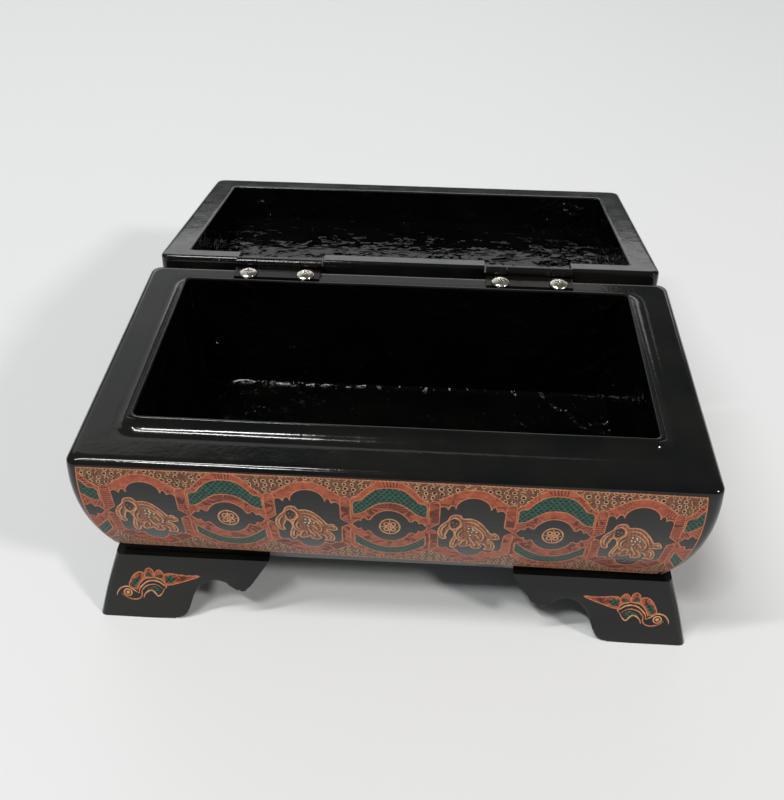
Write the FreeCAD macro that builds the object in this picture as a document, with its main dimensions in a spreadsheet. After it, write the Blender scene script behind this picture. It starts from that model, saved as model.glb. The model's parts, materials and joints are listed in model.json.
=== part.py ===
import FreeCAD, Part
import os
import Sketcher

# A lacquered jewelry box on four bracket feet.  Its lid is hinged along the back on two
# small butt hinges and stands open past flat, hanging behind the box.
# Frame: X is the width, Y runs from front to back, Z is up.  The origin lies on the
# table under the middle of the box.  Millimetres and degrees throughout.

doc = FreeCAD.newDocument("jewelry_box")
sheet = doc.addObject("Spreadsheet::Sheet", "Sizes")


class Size:
    """A length that knows both its value and the sheet formula that it comes from."""

    def __init__(self, value, formula):
        self.value = value
        self.formula = formula

    def combined(self, other, sign, value_of):
        if not isinstance(other, Size):
            other = Size(float(other), repr(float(other)))
        return Size(value_of(self.value, other.value), f"({self.formula} {sign} {other.formula})")

    def __add__(self, other):
        return self.combined(other, "+", lambda a, b: a + b)

    def __sub__(self, other):
        return self.combined(other, "-", lambda a, b: a - b)

    def __mul__(self, other):
        return self.combined(other, "*", lambda a, b: a * b)

    def __truediv__(self, other):
        return self.combined(other, "/", lambda a, b: a / b)

    def __neg__(self):
        return Size(-self.value, f"(0 - {self.formula})")

    def root(self):
        return Size(self.value ** 0.5, f"sqrt({self.formula})")


named_sizes = []


def driving(alias, value, meaning):
    """Writes one driving dimension into the next row of the sheet."""
    named_sizes.append(alias)
    row = len(named_sizes)
    sheet.set(f"A{row}", meaning)
    sheet.set(f"B{row}", str(value))
    sheet.setAlias(f"B{row}", alias)
    return Size(float(value), f"Sizes.{alias}")


ZERO = Size(0.0, "0")

# ---------------------------------------------------------------- driving dimensions
box_width = driving("box_width", 152, "ledge, end to end")
box_depth = driving("box_depth", 80, "ledge, front to back")
foot_height = driving("foot_height", 19.5, "table to the underside of the box")
wall_height = driving("wall_height", 39.5, "underside of the box to the ledge")
wall_bulge = driving("wall_bulge", 1.7, "how far the rounded walls stand out past the ledge")
bulge_drop = driving("bulge_drop", 11, "widest line of the walls below the ledge")
wall_radius = driving("wall_radius", 72.7, "radius of the walls' rounding, seen in section")
corner_round = driving("corner_round", 2.5, "rounding of the upright corners")
ledge_round = driving("ledge_round", 1.3, "rounding of the ledge's outer edge")

front_ledge = driving("front_ledge", 7.7, "flat ledge along the front")
back_ledge = driving("back_ledge", 5.0, "flat ledge along the back, under the hinges")
end_ledge = driving("end_ledge", 7.8, "flat ledge at each end")
lip_height = driving("lip_height", 2.8, "lip above the ledge")
lip_run = driving("lip_run", 3.9, "sloping outer side of the lip, in plan")
lip_top = driving("lip_top", 0.8, "flat top of the lip")
lip_corner = driving("lip_corner", 5.0, "rounding of the lip's corners in plan")
lip_root = driving("lip_root", 3.0, "depth to which the lip is one with the walls")
floor_thickness = driving("floor_thickness", 3.2, "bottom board")

lid_gap = driving("lid_gap", 1.1, "closed lid above the ledge")
lid_setback = driving("lid_setback", 0.5, "lid's rim inside the ledge's edge")
lid_wall = driving("lid_wall", 11.5, "inner depth of the lid")
lid_panel = driving("lid_panel", 4.5, "thickness of the lid's top")
lid_front_rim = driving("lid_front_rim", 8.4, "rim along the front of the lid")
lid_back_rim = driving("lid_back_rim", 5.4, "rim along the hinged side")
lid_end_rim = driving("lid_end_rim", 8.2, "rim at each end of the lid")
lid_bulge = driving("lid_bulge", 0.1, "how far the lid's sides stand out past its rim")
lid_bulge_rise = driving("lid_bulge_rise", 3, "widest line of the lid above its rim")
lid_rim_round = driving("lid_rim_round", 1.0, "rounding of the rim's outer edge")
lid_top_round = driving("lid_top_round", 3.0, "rounding around the lid's top")
open_angle = driving("open_angle", 192, "swing of the lid from closed to its stop")

foot_proud = driving("foot_proud", 1.82, "top of a foot outside the walls' bottom edge")
foot_splay = driving("foot_splay", 6.4, "how far a foot leans out over its height")
foot_board = driving("foot_board", 4.5, "thickness of a bracket")
pad_width = driving("pad_width", 18.5, "from the ledge's end to the inside of a foot's pad")
arch_rise = driving("arch_rise", 12.4, "top of a bracket's arch above the table")
arch_spring = driving("arch_spring", 3.5, "height at which the arch's curve begins")
pad_slope = driving("pad_slope", 2.8, "from the pad's inside to where the arch's curve begins")
arch_radius = driving("arch_radius", 9.1, "hollow curve of the arch")
cusp_radius = driving("cusp_radius", 8.9, "hollow curve between the arch's top and the cusp")
arch_reach = driving("arch_reach", 28.6, "from the ledge's end to the top of the arch")
cusp_height = driving("cusp_height", 9.5, "tip of the bracket's cusp above the table")
cusp_reach = driving("cusp_reach", 36.3, "from the ledge's end to the cusp")
bracket_reach = driving("bracket_reach", 43.7, "from the ledge's end to the bracket's end")
side_bracket_scale = driving("side_bracket_scale", 0.68, "end brackets' length against the front ones")

hinge_length = driving("hinge_length", 25.4, "one inch butt hinge")
left_hinge_place = driving("left_hinge_place", 38.4, "middle of the left hinge from the box's middle")
right_hinge_place = driving("right_hinge_place", 36.3, "middle of the right hinge from the box's middle")
axis_behind = driving("axis_behind", 1.8, "hinge axis behind the ledge's back edge")
barrel_radius = driving("barrel_radius", 1.5, "outside of the knuckles")
pin_radius = driving("pin_radius", 0.7, "hinge pin")
pin_clearance = driving("pin_clearance", 0.05, "around the pin in the lid's knuckles")
leaf_thickness = driving("leaf_thickness", 0.8, "sheet of the hinge leaves")
leaf_reach = driving("leaf_reach", 6.5, "leaf from the hinge axis to its free edge")
middle_knuckle = driving("middle_knuckle", 12.9, "length of the middle knuckle")
knuckle_gap = driving("knuckle_gap", 0.25, "between knuckles, and round them in the leaves")
mortise_clearance = driving("mortise_clearance", 0.3, "at each end of a hinge in the lid's notch")
screw_spacing = driving("screw_spacing", 17.0, "between the two screws of a leaf")
screw_inset = driving("screw_inset", 3.2, "screws in front of the ledge's back edge")
screw_shank = driving("screw_shank", 1.2, "radius of a screw's shank")
screw_length = driving("screw_length", 7.0, "screw in the wood")
head_radius = driving("head_radius", 2.7, "raised head of the base screws")
head_height = driving("head_height", 1.1, "raised head above its leaf")
head_rim = driving("head_rim", 0.45, "upright rim of a raised head")
crown_radius = driving("crown_radius", 1.7, "flatter middle of a raised head")
recess_reach = driving("recess_reach", 1.6, "arm of the cross recess from the middle of the head")
recess_width = driving("recess_width", 0.55, "width of an arm of the cross recess")
recess_depth = driving("recess_depth", 0.5, "depth of the cross recess")
flush_head_radius = driving("flush_head_radius", 2.0, "countersunk head of the lid screws")
doc.recompute()

# ---------------------------------------------------------------- places that follow
ledge_z = foot_height + wall_height
half_width = box_width / 2
half_depth = box_depth / 2
front_wall = front_ledge + lip_run + lip_top
back_wall = back_ledge + lip_run + lip_top
end_wall = end_ledge + lip_run + lip_top
floor_z = foot_height + floor_thickness
rim_z = ledge_z + lid_gap
lid_height = lid_wall + lid_panel
axis_y = half_depth + axis_behind
axis_z = ledge_z + barrel_radius
bottom_drop = wall_height - bulge_drop
bottom_inset = wall_radius - wall_bulge - (wall_radius * wall_radius - bottom_drop * bottom_drop).root()
foot_top_inset = bottom_inset - foot_proud
beyond = box_width          # a length that is sure to pass right through the box


# ---------------------------------------------------------------- small tools
def bind(obj, sizes):
    """Ties properties of an object to the sheet and gives them their present values."""
    for path, size in sizes.items():
        obj.setExpression(path, size.formula)


def box(name, x_range, y_range, z_range):
    """A rectangular block between two places along each axis."""
    obj = doc.addObject("Part::Box", name)
    bind(obj, {
        "Length": x_range[1] - x_range[0],
        "Width": y_range[1] - y_range[0],
        "Height": z_range[1] - z_range[0],
        "Placement.Base.x": x_range[0],
        "Placement.Base.y": y_range[0],
        "Placement.Base.z": z_range[0],
    })
    return obj


TURN_TO = {
    "x": FreeCAD.Rotation(FreeCAD.Vector(0, 1, 0), 90),
    "y": FreeCAD.Rotation(FreeCAD.Vector(1, 0, 0), -90),
    "z": FreeCAD.Rotation(),
}


def rod(name, radius, length, along, start):
    """A round bar from a start point along one axis."""
    obj = doc.addObject("Part::Cylinder", name)
    obj.Placement = FreeCAD.Placement(FreeCAD.Vector(), TURN_TO[along])
    bind(obj, {
        "Radius": radius,
        "Height": length,
        "Placement.Base.x": start[0],
        "Placement.Base.y": start[1],
        "Placement.Base.z": start[2],
    })
    return obj


def common(name, *shapes):
    obj = doc.addObject("Part::MultiCommon", name)
    obj.Shapes = list(shapes)
    return obj


def fuse(name, *shapes):
    obj = doc.addObject("Part::MultiFuse", name)
    obj.Shapes = list(shapes)
    obj.Refine = True
    return obj


def cut(name, base, *tools):
    obj = doc.addObject("Part::Cut", name)
    obj.Base = base
    obj.Tool = tools[0] if len(tools) == 1 else fuse(name + "_cutters", *tools)
    return obj


def round_edges(name, base, radius, wanted):
    """Fillets the edges of a solid whose middle point passes the test."""
    doc.recompute()
    obj = doc.addObject("Part::Fillet", name)
    obj.Base = base
    obj.Edges = [
        (index, radius.value, radius.value)
        for index, edge in enumerate(base.Shape.Edges, 1)
        if wanted(edge)
    ]
    return obj


def middle_of(edge):
    return edge.valueAt((edge.FirstParameter + edge.LastParameter) / 2)


def height_change(edge):
    return edge.BoundBox.ZLength


def at_height(size):
    return lambda edge: height_change(edge) < 0.01 and abs(middle_of(edge).z - size.value) < 0.01


def upright(edge):
    return height_change(edge) > 1.0


FACING = {
    "xz": FreeCAD.Rotation(FreeCAD.Vector(1, 0, 0), 90),
    "yz": FreeCAD.Rotation(FreeCAD.Vector(1, 1, 1), 120),
    "xy": FreeCAD.Rotation(),
}


def sketch_of(name, plane, corners, radii=None):
    """A closed outline whose every corner is tied to the sheet.

    The corners run anticlockwise.  radii gives, for a side's number, the radius of the
    arc that replaces the straight side: positive bows out of the piece, negative into it.
    """
    radii = radii or {}
    sketch = doc.addObject("Sketcher::SketchObject", name)
    sketch.Placement = FreeCAD.Placement(FreeCAD.Vector(), FACING[plane])
    points = [FreeCAD.Vector(u.value, v.value, 0) for u, v in corners]
    count = len(points)
    for side in range(count):
        start, end = points[side], points[(side + 1) % count]
        radius = radii.get(side)
        if radius is None:
            sketch.addGeometry(Part.LineSegment(start, end))
            continue
        chord = end - start
        half = chord.Length / 2
        sag = abs(radius.value) - (radius.value ** 2 - half ** 2) ** 0.5
        across = FreeCAD.Vector(chord.y, -chord.x, 0)
        across.normalize()
        bow = across * (sag if radius.value > 0 else -sag)
        sketch.addGeometry(Part.Arc(start, (start + end) / 2 + bow, end))
        magnitude = radius if radius.value > 0 else -radius
        number = sketch.addConstraint(Sketcher.Constraint("Radius", side, magnitude.value))
        sketch.setExpression(f"Constraints[{number}]", magnitude.formula)
    # An arc keeps its own start and end, which run anticlockwise, so each corner is
    # tied to whichever end of the side lies there.
    for side in range(count):
        for corner in (side, (side + 1) % count):
            place = points[corner]
            end_number = 1 if (sketch.getPoint(side, 1) - place).Length < 1e-6 else 2
            for kind, size in zip(("DistanceX", "DistanceY"), corners[corner]):
                rule = Sketcher.Constraint(kind, -1, 1, side, end_number, size.value)
                number = sketch.addConstraint(rule)
                sketch.setExpression(f"Constraints[{number}]", size.formula)
    return sketch


def extrude(name, sketch, direction, forward, backward=ZERO):
    obj = doc.addObject("Part::Extrusion", name)
    obj.Base = sketch
    obj.DirMode = "Custom"
    obj.Dir = FreeCAD.Vector(*direction)
    obj.Solid = True
    bind(obj, {"LengthFwd": forward, "LengthRev": backward})
    return obj


nodes = []


def finished(obj, label):
    """Marks an object as one real piece of the box."""
    obj.Label = label
    nodes.append(obj)
    return obj


# ---------------------------------------------------------------- rounded forms
def rounded_form(name, edge_inset, bulge, widest_z, z_range):
    """A block whose four sides bulge as arcs of one radius, widest at one height.

    It is what two long bars have in common: one with the section seen from the front,
    the other with the section seen from the end.
    """
    low_z, high_z = z_range

    def section(half):
        centre = half - edge_inset + bulge - wall_radius

        def reach(height):
            drop = widest_z - height
            return centre + (wall_radius * wall_radius - drop * drop).root()

        low, high = reach(low_z), reach(high_z)
        return [(-low, low_z), (low, low_z), (high, high_z), (-high, high_z)]

    arcs = {1: wall_radius, 3: wall_radius}
    from_front = sketch_of(name + "_front_section", "xz", section(half_width), arcs)
    from_end = sketch_of(name + "_end_section", "yz", section(half_depth), arcs)
    deep = extrude(name + "_deep", from_front, (0, -1, 0), box_depth, box_depth)
    wide = extrude(name + "_wide", from_end, (1, 0, 0), box_width, box_width)
    return common(name, deep, wide)


def between_ends(wall):
    return (-half_width + wall, half_width - wall)


# ---------------------------------------------------------------- the base's walls
def base_blank():
    """The whole base before it is parted into its boards."""
    form = rounded_form("base_form", ZERO, wall_bulge, ledge_z - bulge_drop, (foot_height, ledge_z))
    form = round_edges("base_corners", form, corner_round, upright)
    form = round_edges("base_ledge_edge", form, ledge_round, at_height(ledge_z))
    lip_x = between_ends(end_ledge)
    lip_y = (-half_depth + front_ledge, half_depth - back_ledge)
    lip = box("lip_block", lip_x, lip_y, (ledge_z - lip_root, ledge_z + lip_height))
    lip = round_edges("lip_corners", lip, lip_corner, upright)
    doc.recompute()
    slope = doc.addObject("Part::Chamfer", "lip_slope")
    slope.Base = lip
    slope.Edges = [
        (index, lip_height.value, lip_run.value)
        for index, edge in enumerate(lip.Shape.Edges, 1)
        if at_height(ledge_z + lip_height)(edge)
    ]
    opening = box(
        "base_opening",
        between_ends(end_wall),
        (-half_depth + front_wall, half_depth - back_wall),
        (floor_z, ledge_z + lip_height * 2),
    )
    return cut("base_hollow", fuse("base_solid", form, slope), opening)


hollow = base_blank()
pilot_holes = []
for hinge_side, hinge_x in (("left", -left_hinge_place), ("right", right_hinge_place)):
    for number, offset in ((1, -screw_spacing / 2), (2, screw_spacing / 2)):
        hole_start = (hinge_x + offset, half_depth - screw_inset, ledge_z - screw_length)
        hole_name = f"{hinge_side}_base_pilot_{number}"
        pilot_holes.append(rod(hole_name, screw_shank, screw_length * 2, "z", hole_start))

all_z = (ZERO, ledge_z + lip_height * 2)
front_part = (-beyond, -half_depth + front_wall)
back_part = (half_depth - back_wall, beyond)
middle_part = (front_part[1], back_part[0])
full_x = (-beyond, beyond)

finished(common("front_board", hollow, box("front_block", full_x, front_part, all_z)), "base_front_board")
back_board = common("back_board", hollow, box("back_block", full_x, back_part, all_z))
finished(cut("back_board_drilled", back_board, *pilot_holes), "base_back_board")
left_part = (-beyond, -half_width + end_wall)
right_part = (half_width - end_wall, beyond)
left_end = common("left_end", hollow, box("left_block", left_part, middle_part, all_z))
finished(left_end, "base_left_end_board")
right_end = common("right_end", hollow, box("right_block", right_part, middle_part, all_z))
finished(right_end, "base_right_end_board")


# ---------------------------------------------------------------- the bottom board
def bottom_board():
    """A plain board glued between the walls, flush with their undersides."""
    body = doc.addObject("PartDesign::Body", "bottom_board")
    plane = next(item for item in body.Origin.OriginFeatures if item.Role == "XY_Plane")
    sketch = body.newObject("Sketcher::SketchObject", "bottom_outline")
    sketch.AttachmentSupport = (plane, "")
    sketch.MapMode = "FlatFace"
    low = (-half_width + end_wall, -half_depth + front_wall)
    high = (half_width - end_wall, half_depth - back_wall)
    corners = [low, (high[0], low[1]), high, (low[0], high[1])]
    points = [FreeCAD.Vector(u.value, v.value, 0) for u, v in corners]
    for side in range(4):
        sketch.addGeometry(Part.LineSegment(points[side], points[(side + 1) % 4]))
    for side in range(4):
        sketch.addConstraint(Sketcher.Constraint("Coincident", side, 2, (side + 1) % 4, 1))
        for kind, size in zip(("DistanceX", "DistanceY"), corners[side]):
            number = sketch.addConstraint(Sketcher.Constraint(kind, -1, 1, side, 1, size.value))
            sketch.setExpression(f"Constraints[{number}]", size.formula)
    pad = body.newObject("PartDesign::Pad", "bottom_thickness")
    pad.Profile = sketch
    bind(pad, {"Length": floor_thickness})
    bind(body, {"Placement.Base.z": foot_height})
    return body


finished(bottom_board(), "base_bottom_board")


# ---------------------------------------------------------------- bracket feet
def bracket(name, along):
    """One of the two mitred boards of the front left foot.

    along is "front" for the board that shows at the front and "side" for the one at
    the box's end.  Both lean outwards and meet on the diagonal of the corner.
    """
    edge = half_width if along == "front" else half_depth
    other_edge = half_depth if along == "front" else half_width
    stretch = Size(1.0, "1") if along == "front" else side_bracket_scale

    def place(reach):
        return -edge + reach * stretch

    outside = -edge - foot_splay * 2
    outline = [
        (outside, ZERO),
        (place(pad_width), ZERO),
        (place(pad_width + pad_slope), arch_spring),
        (place(arch_reach), arch_rise),
        (place(cusp_reach), cusp_height),
        (place(bracket_reach), foot_height),
        (outside, foot_height),
    ]
    planes = {"front": ("xz", (0, -1, 0)), "side": ("yz", (1, 0, 0))}
    seen_from, through = planes[along]
    lean_from, lean_way = planes["side" if along == "front" else "front"]
    curves = {2: -arch_radius, 3: -cusp_radius}
    face = sketch_of(name + "_outline", seen_from, outline, curves)
    cheek = extrude(name + "_cheek", face, through, beyond, beyond)

    outer_top = -other_edge + foot_top_inset
    outer_foot = outer_top - foot_splay
    lean = [
        (outer_foot, ZERO),
        (outer_foot + foot_board, ZERO),
        (outer_top + foot_board, foot_height),
        (outer_top, foot_height),
    ]
    slab = extrude(name + "_slab", sketch_of(name + "_lean", lean_from, lean), lean_way, beyond, beyond)

    # The mitre runs along the diagonal of the corner, from outside the foot inwards.
    outward = foot_splay * 2
    outer = (-half_width - outward, -half_depth - outward)
    inner = (-half_width + bracket_reach, -half_depth + bracket_reach)
    if along == "front":
        plan = [outer, (ZERO, outer[1]), (ZERO, inner[1]), inner]
    else:
        plan = [outer, inner, (outer[0], inner[1])]
    mitre = extrude(name + "_mitre", sketch_of(name + "_plan", "xy", plan), (0, 0, 1), foot_height)
    return common(name, cheek, slab, mitre)


def mirrored(name, source, normal):
    obj = doc.addObject("Part::Mirroring", name)
    obj.Source = source
    obj.Normal = FreeCAD.Vector(*normal)
    return obj


for along, piece in (("front", "long_bracket"), ("side", "end_bracket")):
    front_left = finished(bracket(f"{along}_bracket", along), f"front_left_foot_{piece}")
    front_right = mirrored(f"{along}_bracket_right", front_left, (1, 0, 0))
    finished(front_right, f"front_right_foot_{piece}")
    back_left = mirrored(f"{along}_bracket_back", front_left, (0, 1, 0))
    finished(back_left, f"back_left_foot_{piece}")
    back_right = mirrored(f"{along}_bracket_back_right", front_right, (0, 1, 0))
    finished(back_right, f"back_right_foot_{piece}")


# ---------------------------------------------------------------- the lid, made closed
lid_nodes = []


def on_lid(obj, label):
    lid_nodes.append(obj)
    return finished(obj, label)


def lid_blank():
    top_z = rim_z + lid_height
    form = rounded_form("lid_form", lid_setback, lid_bulge, rim_z + lid_bulge_rise, (rim_z, top_z))
    form = round_edges("lid_corners", form, corner_round, upright)
    form = round_edges("lid_top_edge", form, lid_top_round, at_height(top_z))
    form = round_edges("lid_rim_edge", form, lid_rim_round, at_height(rim_z))
    opening = box("lid_opening", lid_opening_x, lid_opening_y, (rim_z - lid_gap, rim_z + lid_wall))
    return cut("lid_hollow", form, opening)


lid_opening_x = between_ends(lid_setback + lid_end_rim)
lid_opening_y = (
    -half_depth + lid_setback + lid_front_rim,
    half_depth - lid_setback - lid_back_rim,
)
lid_shell = lid_blank()
leaf_top_z = axis_z + barrel_radius

lid_cutters = []
for hinge_side, hinge_x in (("left", -left_hinge_place), ("right", right_hinge_place)):
    half_notch = hinge_length / 2 + mortise_clearance
    notch_x = (hinge_x - half_notch, hinge_x + half_notch)
    notch_y = (lid_opening_y[1] - lid_back_rim, beyond)
    lid_cutters.append(box(f"{hinge_side}_notch", notch_x, notch_y, (rim_z - lid_gap, leaf_top_z)))
    for number, offset in ((1, -screw_spacing / 2), (2, screw_spacing / 2)):
        hole_start = (hinge_x + offset, half_depth - screw_inset, rim_z)
        hole_length = leaf_top_z + screw_length - rim_z
        hole_name = f"{hinge_side}_lid_pilot_{number}"
        lid_cutters.append(rod(hole_name, screw_shank, hole_length, "z", hole_start))

lid_wall_z = (rim_z - lid_gap, rim_z + lid_wall)
lid_middle = (lid_opening_y[0], lid_opening_y[1])
lid_front_block = box("lid_front_block", full_x, (-beyond, lid_middle[0]), lid_wall_z)
lid_back_block = box("lid_back_block", full_x, (lid_middle[1], beyond), lid_wall_z)
lid_left_block = box("lid_left_block", (-beyond, lid_opening_x[0]), lid_middle, lid_wall_z)
lid_right_block = box("lid_right_block", (lid_opening_x[1], beyond), lid_middle, lid_wall_z)
lid_top_block = box("lid_top_block", full_x, full_x, (lid_wall_z[1], lid_wall_z[1] + lid_panel * 2))

on_lid(common("lid_front", lid_shell, lid_front_block), "lid_front_board")
lid_back = common("lid_back", lid_shell, lid_back_block)
on_lid(cut("lid_back_notched", lid_back, *lid_cutters), "lid_back_board")
on_lid(common("lid_left", lid_shell, lid_left_block), "lid_left_end_board")
on_lid(common("lid_right", lid_shell, lid_right_block), "lid_right_end_board")
on_lid(common("lid_top", lid_shell, lid_top_block), "lid_top_panel")


# ---------------------------------------------------------------- hinges
def knuckle(name, x_range, bore):
    start = (x_range[0], axis_y, axis_z)
    barrel = rod(name, barrel_radius, x_range[1] - x_range[0], "x", start)
    hole_start = (x_range[0] - knuckle_gap, axis_y, axis_z)
    hole_length = x_range[1] - x_range[0] + knuckle_gap * 2
    return barrel, rod(name + "_bore", bore, hole_length, "x", hole_start)


def leaf(name, hinge_x, carries_middle):
    """A hinge leaf with its knuckles, as it lies with the lid closed.

    The base's leaf lies on the ledge and carries the middle knuckle.  The lid's leaf
    lies against the bottom of the lid's notch and carries the two outer knuckles.
    """
    ends = (hinge_x - hinge_length / 2, hinge_x + hinge_length / 2)
    middle = (hinge_x - middle_knuckle / 2, hinge_x + middle_knuckle / 2)
    if carries_middle:
        plate_z = (ledge_z, ledge_z + leaf_thickness)
        bore = pin_radius
        knuckles = [middle]
        rooms = [
            (ends[0] - knuckle_gap, middle[0]),
            (middle[1], ends[1] + knuckle_gap),
        ]
    else:
        plate_z = (leaf_top_z - leaf_thickness, leaf_top_z)
        bore = pin_radius + pin_clearance
        knuckles = [(ends[0], middle[0] - knuckle_gap), (middle[1] + knuckle_gap, ends[1])]
        rooms = [(middle[0] - knuckle_gap, middle[1] + knuckle_gap)]
    plate = box(name + "_plate", ends, (axis_y - leaf_reach, axis_y), plate_z)
    barrels, bores = [], []
    for number, x_range in enumerate(knuckles, 1):
        barrel, hole = knuckle(f"{name}_knuckle_{number}", x_range, bore)
        barrels.append(barrel)
        bores.append(hole)
    room_y = (axis_y - barrel_radius - knuckle_gap, axis_y + barrel_radius * 2)
    room_z = (ledge_z - barrel_radius, leaf_top_z + barrel_radius)
    rooms = [box(f"{name}_room_{n}", span, room_y, room_z) for n, span in enumerate(rooms, 1)]
    trimmed = cut(name + "_trimmed", plate, *rooms)
    return cut(name + "_bored", fuse(name + "_whole", trimmed, *barrels), *bores)


def turned(name, half_section, x, y):
    """A round piece turned about an upright line, from its half section (radius, height)."""
    obj = doc.addObject("Part::Revolution", name)
    obj.Source = sketch_of(name + "_section", "xz", half_section)
    obj.Axis = FreeCAD.Vector(0, 0, 1)
    obj.Angle = 360
    obj.Solid = True
    bind(obj, {"Placement.Base.x": x, "Placement.Base.y": y})
    return obj


def raised_screw(name, x):
    """A domed-head screw with a cross recess, standing in the base's leaf."""
    seat = ledge_z + leaf_thickness
    tip = ledge_z - screw_length
    section = [
        (ZERO, tip),
        (screw_shank, tip),
        (screw_shank, seat),
        (head_radius, seat),
        (head_radius, seat + head_rim),
        (crown_radius, seat + head_height),
        (ZERO, seat + head_height),
    ]
    y = half_depth - screw_inset
    screw = turned(name + "_blank", section, x, y)
    half_arm = recess_width / 2
    recess_z = (seat + head_height - recess_depth, seat + head_height * 2)
    slot = box(name + "_slot", (x - recess_reach, x + recess_reach), (y - half_arm, y + half_arm), recess_z)
    cross = box(name + "_cross", (x - half_arm, x + half_arm), (y - recess_reach, y + recess_reach), recess_z)
    return cut(name, screw, slot, cross)


def flush_section():
    """Half section of a countersunk screw, its head level with the lid leaf's open face."""
    face = leaf_top_z - leaf_thickness
    return [
        (ZERO, face),
        (flush_head_radius, face),
        (screw_shank, leaf_top_z),
        (screw_shank, leaf_top_z + screw_length),
        (ZERO, leaf_top_z + screw_length),
    ]


def compound(name, *shapes):
    obj = doc.addObject("Part::Compound", name)
    obj.Links = list(shapes)
    return obj


def hinge(side, hinge_x):
    """Two leaves, their pin and the two pairs of screws of one butt hinge."""
    screw_y = half_depth - screw_inset
    screw_x = [hinge_x - screw_spacing / 2, hinge_x + screw_spacing / 2]
    base_leaf = leaf(f"{side}_base_leaf", hinge_x, True)
    base_holes = [
        rod(f"{side}_base_leaf_hole_{n}", screw_shank, leaf_thickness * 3, "z",
            (x, screw_y, ledge_z - leaf_thickness))
        for n, x in enumerate(screw_x, 1)
    ]
    finished(cut(f"{side}_base_leaf_drilled", base_leaf, *base_holes), f"{side}_hinge_base_leaf")
    raised = [raised_screw(f"{side}_raised_screw_{n}", x) for n, x in enumerate(screw_x, 1)]
    finished(compound(f"{side}_raised_screws", *raised), f"{side}_hinge_base_screws")

    lid_leaf = leaf(f"{side}_lid_leaf", hinge_x, False)
    sinks = [
        turned(f"{side}_countersink_{n}", flush_section(), x, screw_y)
        for n, x in enumerate(screw_x, 1)
    ]
    on_lid(cut(f"{side}_lid_leaf_drilled", lid_leaf, *sinks), f"{side}_hinge_lid_leaf")
    flush = [
        turned(f"{side}_flush_screw_{n}", flush_section(), x, screw_y)
        for n, x in enumerate(screw_x, 1)
    ]
    on_lid(compound(f"{side}_flush_screws", *flush), f"{side}_hinge_lid_screws")

    pin_start = (hinge_x - hinge_length / 2, axis_y, axis_z)
    finished(rod(f"{side}_pin", pin_radius, hinge_length, "x", pin_start), f"{side}_hinge_pin")


hinge("left", -left_hinge_place)
hinge("right", right_hinge_place)


# ---------------------------------------------------------------- opening the lid
def open_lid(obj):
    """Swings a piece of the lid back about the hinge axis, up and over to its stop."""
    obj.Placement = FreeCAD.Placement(FreeCAD.Vector(), FreeCAD.Rotation(FreeCAD.Vector(1, 0, 0), 90))
    turn = open_angle.formula
    y, z = axis_y.formula, axis_z.formula
    obj.setExpression("Placement.Rotation.Angle", f"360 - {turn}")
    obj.setExpression("Placement.Base.y", f"{y} - ({y}) * cos({turn}) - ({z}) * sin({turn})")
    obj.setExpression("Placement.Base.z", f"{z} + ({y}) * sin({turn}) - ({z}) * cos({turn})")


for lid_piece in lid_nodes:
    open_lid(lid_piece)
doc.recompute()

# ---------------------------------------------------------------- checks, then the files
for obj in doc.Objects:
    if "Invalid" in obj.State or "Error" in obj.State:
        raise RuntimeError(f"{obj.Label} did not build: {obj.State}")
for obj in nodes:
    if obj.Shape.isNull() or not obj.Shape.isValid() or not obj.Shape.Solids:
        raise RuntimeError(f"{obj.Label} is not a sound solid")

os.makedirs("parts", exist_ok=True)
for obj in nodes:
    obj.Shape.exportStep(f"parts/{obj.Label}.step")
    size = obj.Shape.optimalBoundingBox(False)
    print(f"{obj.Label:34s} solids {len(obj.Shape.Solids)}  volume {obj.Shape.Volume:9.1f}  "
          f"x {size.XMin:7.2f} {size.XMax:7.2f}  y {size.YMin:7.2f} {size.YMax:7.2f}  "
          f"z {size.ZMin:7.2f} {size.ZMax:7.2f}")
print(len(nodes), "pieces written")
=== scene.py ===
# %% [markdown]
# # A lacquered jewelry box
# This lesson dresses a ready-made model of a small wooden box in the finish of the real
# one: many coats of black lacquer, a pattern cut into them and filled with colour, black
# butt hinges and bright screws. The model gives every place and every size. What is made
# here is only what an eye would miss in it: soft lacquered edges, uneven coats, the
# picture band and the small hardware.

# %% Load the model
import json
import math

import bmesh
import bpy
from mathutils import Matrix, Vector, geometry, kdtree, noise

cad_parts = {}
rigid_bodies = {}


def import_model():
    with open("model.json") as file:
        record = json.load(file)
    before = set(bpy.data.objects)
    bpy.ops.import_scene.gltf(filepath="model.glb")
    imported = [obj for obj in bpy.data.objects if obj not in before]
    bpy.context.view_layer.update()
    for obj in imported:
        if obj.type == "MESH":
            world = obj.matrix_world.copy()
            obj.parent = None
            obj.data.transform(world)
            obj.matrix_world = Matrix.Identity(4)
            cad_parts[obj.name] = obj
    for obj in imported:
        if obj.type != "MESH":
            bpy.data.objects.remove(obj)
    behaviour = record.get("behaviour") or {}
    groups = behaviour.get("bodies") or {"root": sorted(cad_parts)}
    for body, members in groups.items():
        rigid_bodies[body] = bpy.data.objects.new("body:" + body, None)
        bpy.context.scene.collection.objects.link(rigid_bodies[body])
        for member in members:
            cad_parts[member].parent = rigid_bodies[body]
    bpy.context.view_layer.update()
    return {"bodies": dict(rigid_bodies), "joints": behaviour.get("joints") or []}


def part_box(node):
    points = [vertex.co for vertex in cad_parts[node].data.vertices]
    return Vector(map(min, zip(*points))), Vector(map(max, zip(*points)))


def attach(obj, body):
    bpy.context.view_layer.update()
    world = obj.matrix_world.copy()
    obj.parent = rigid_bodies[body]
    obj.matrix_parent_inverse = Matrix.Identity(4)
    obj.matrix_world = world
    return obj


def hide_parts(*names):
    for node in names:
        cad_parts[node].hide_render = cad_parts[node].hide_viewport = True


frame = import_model()
MM = 0.001

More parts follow.
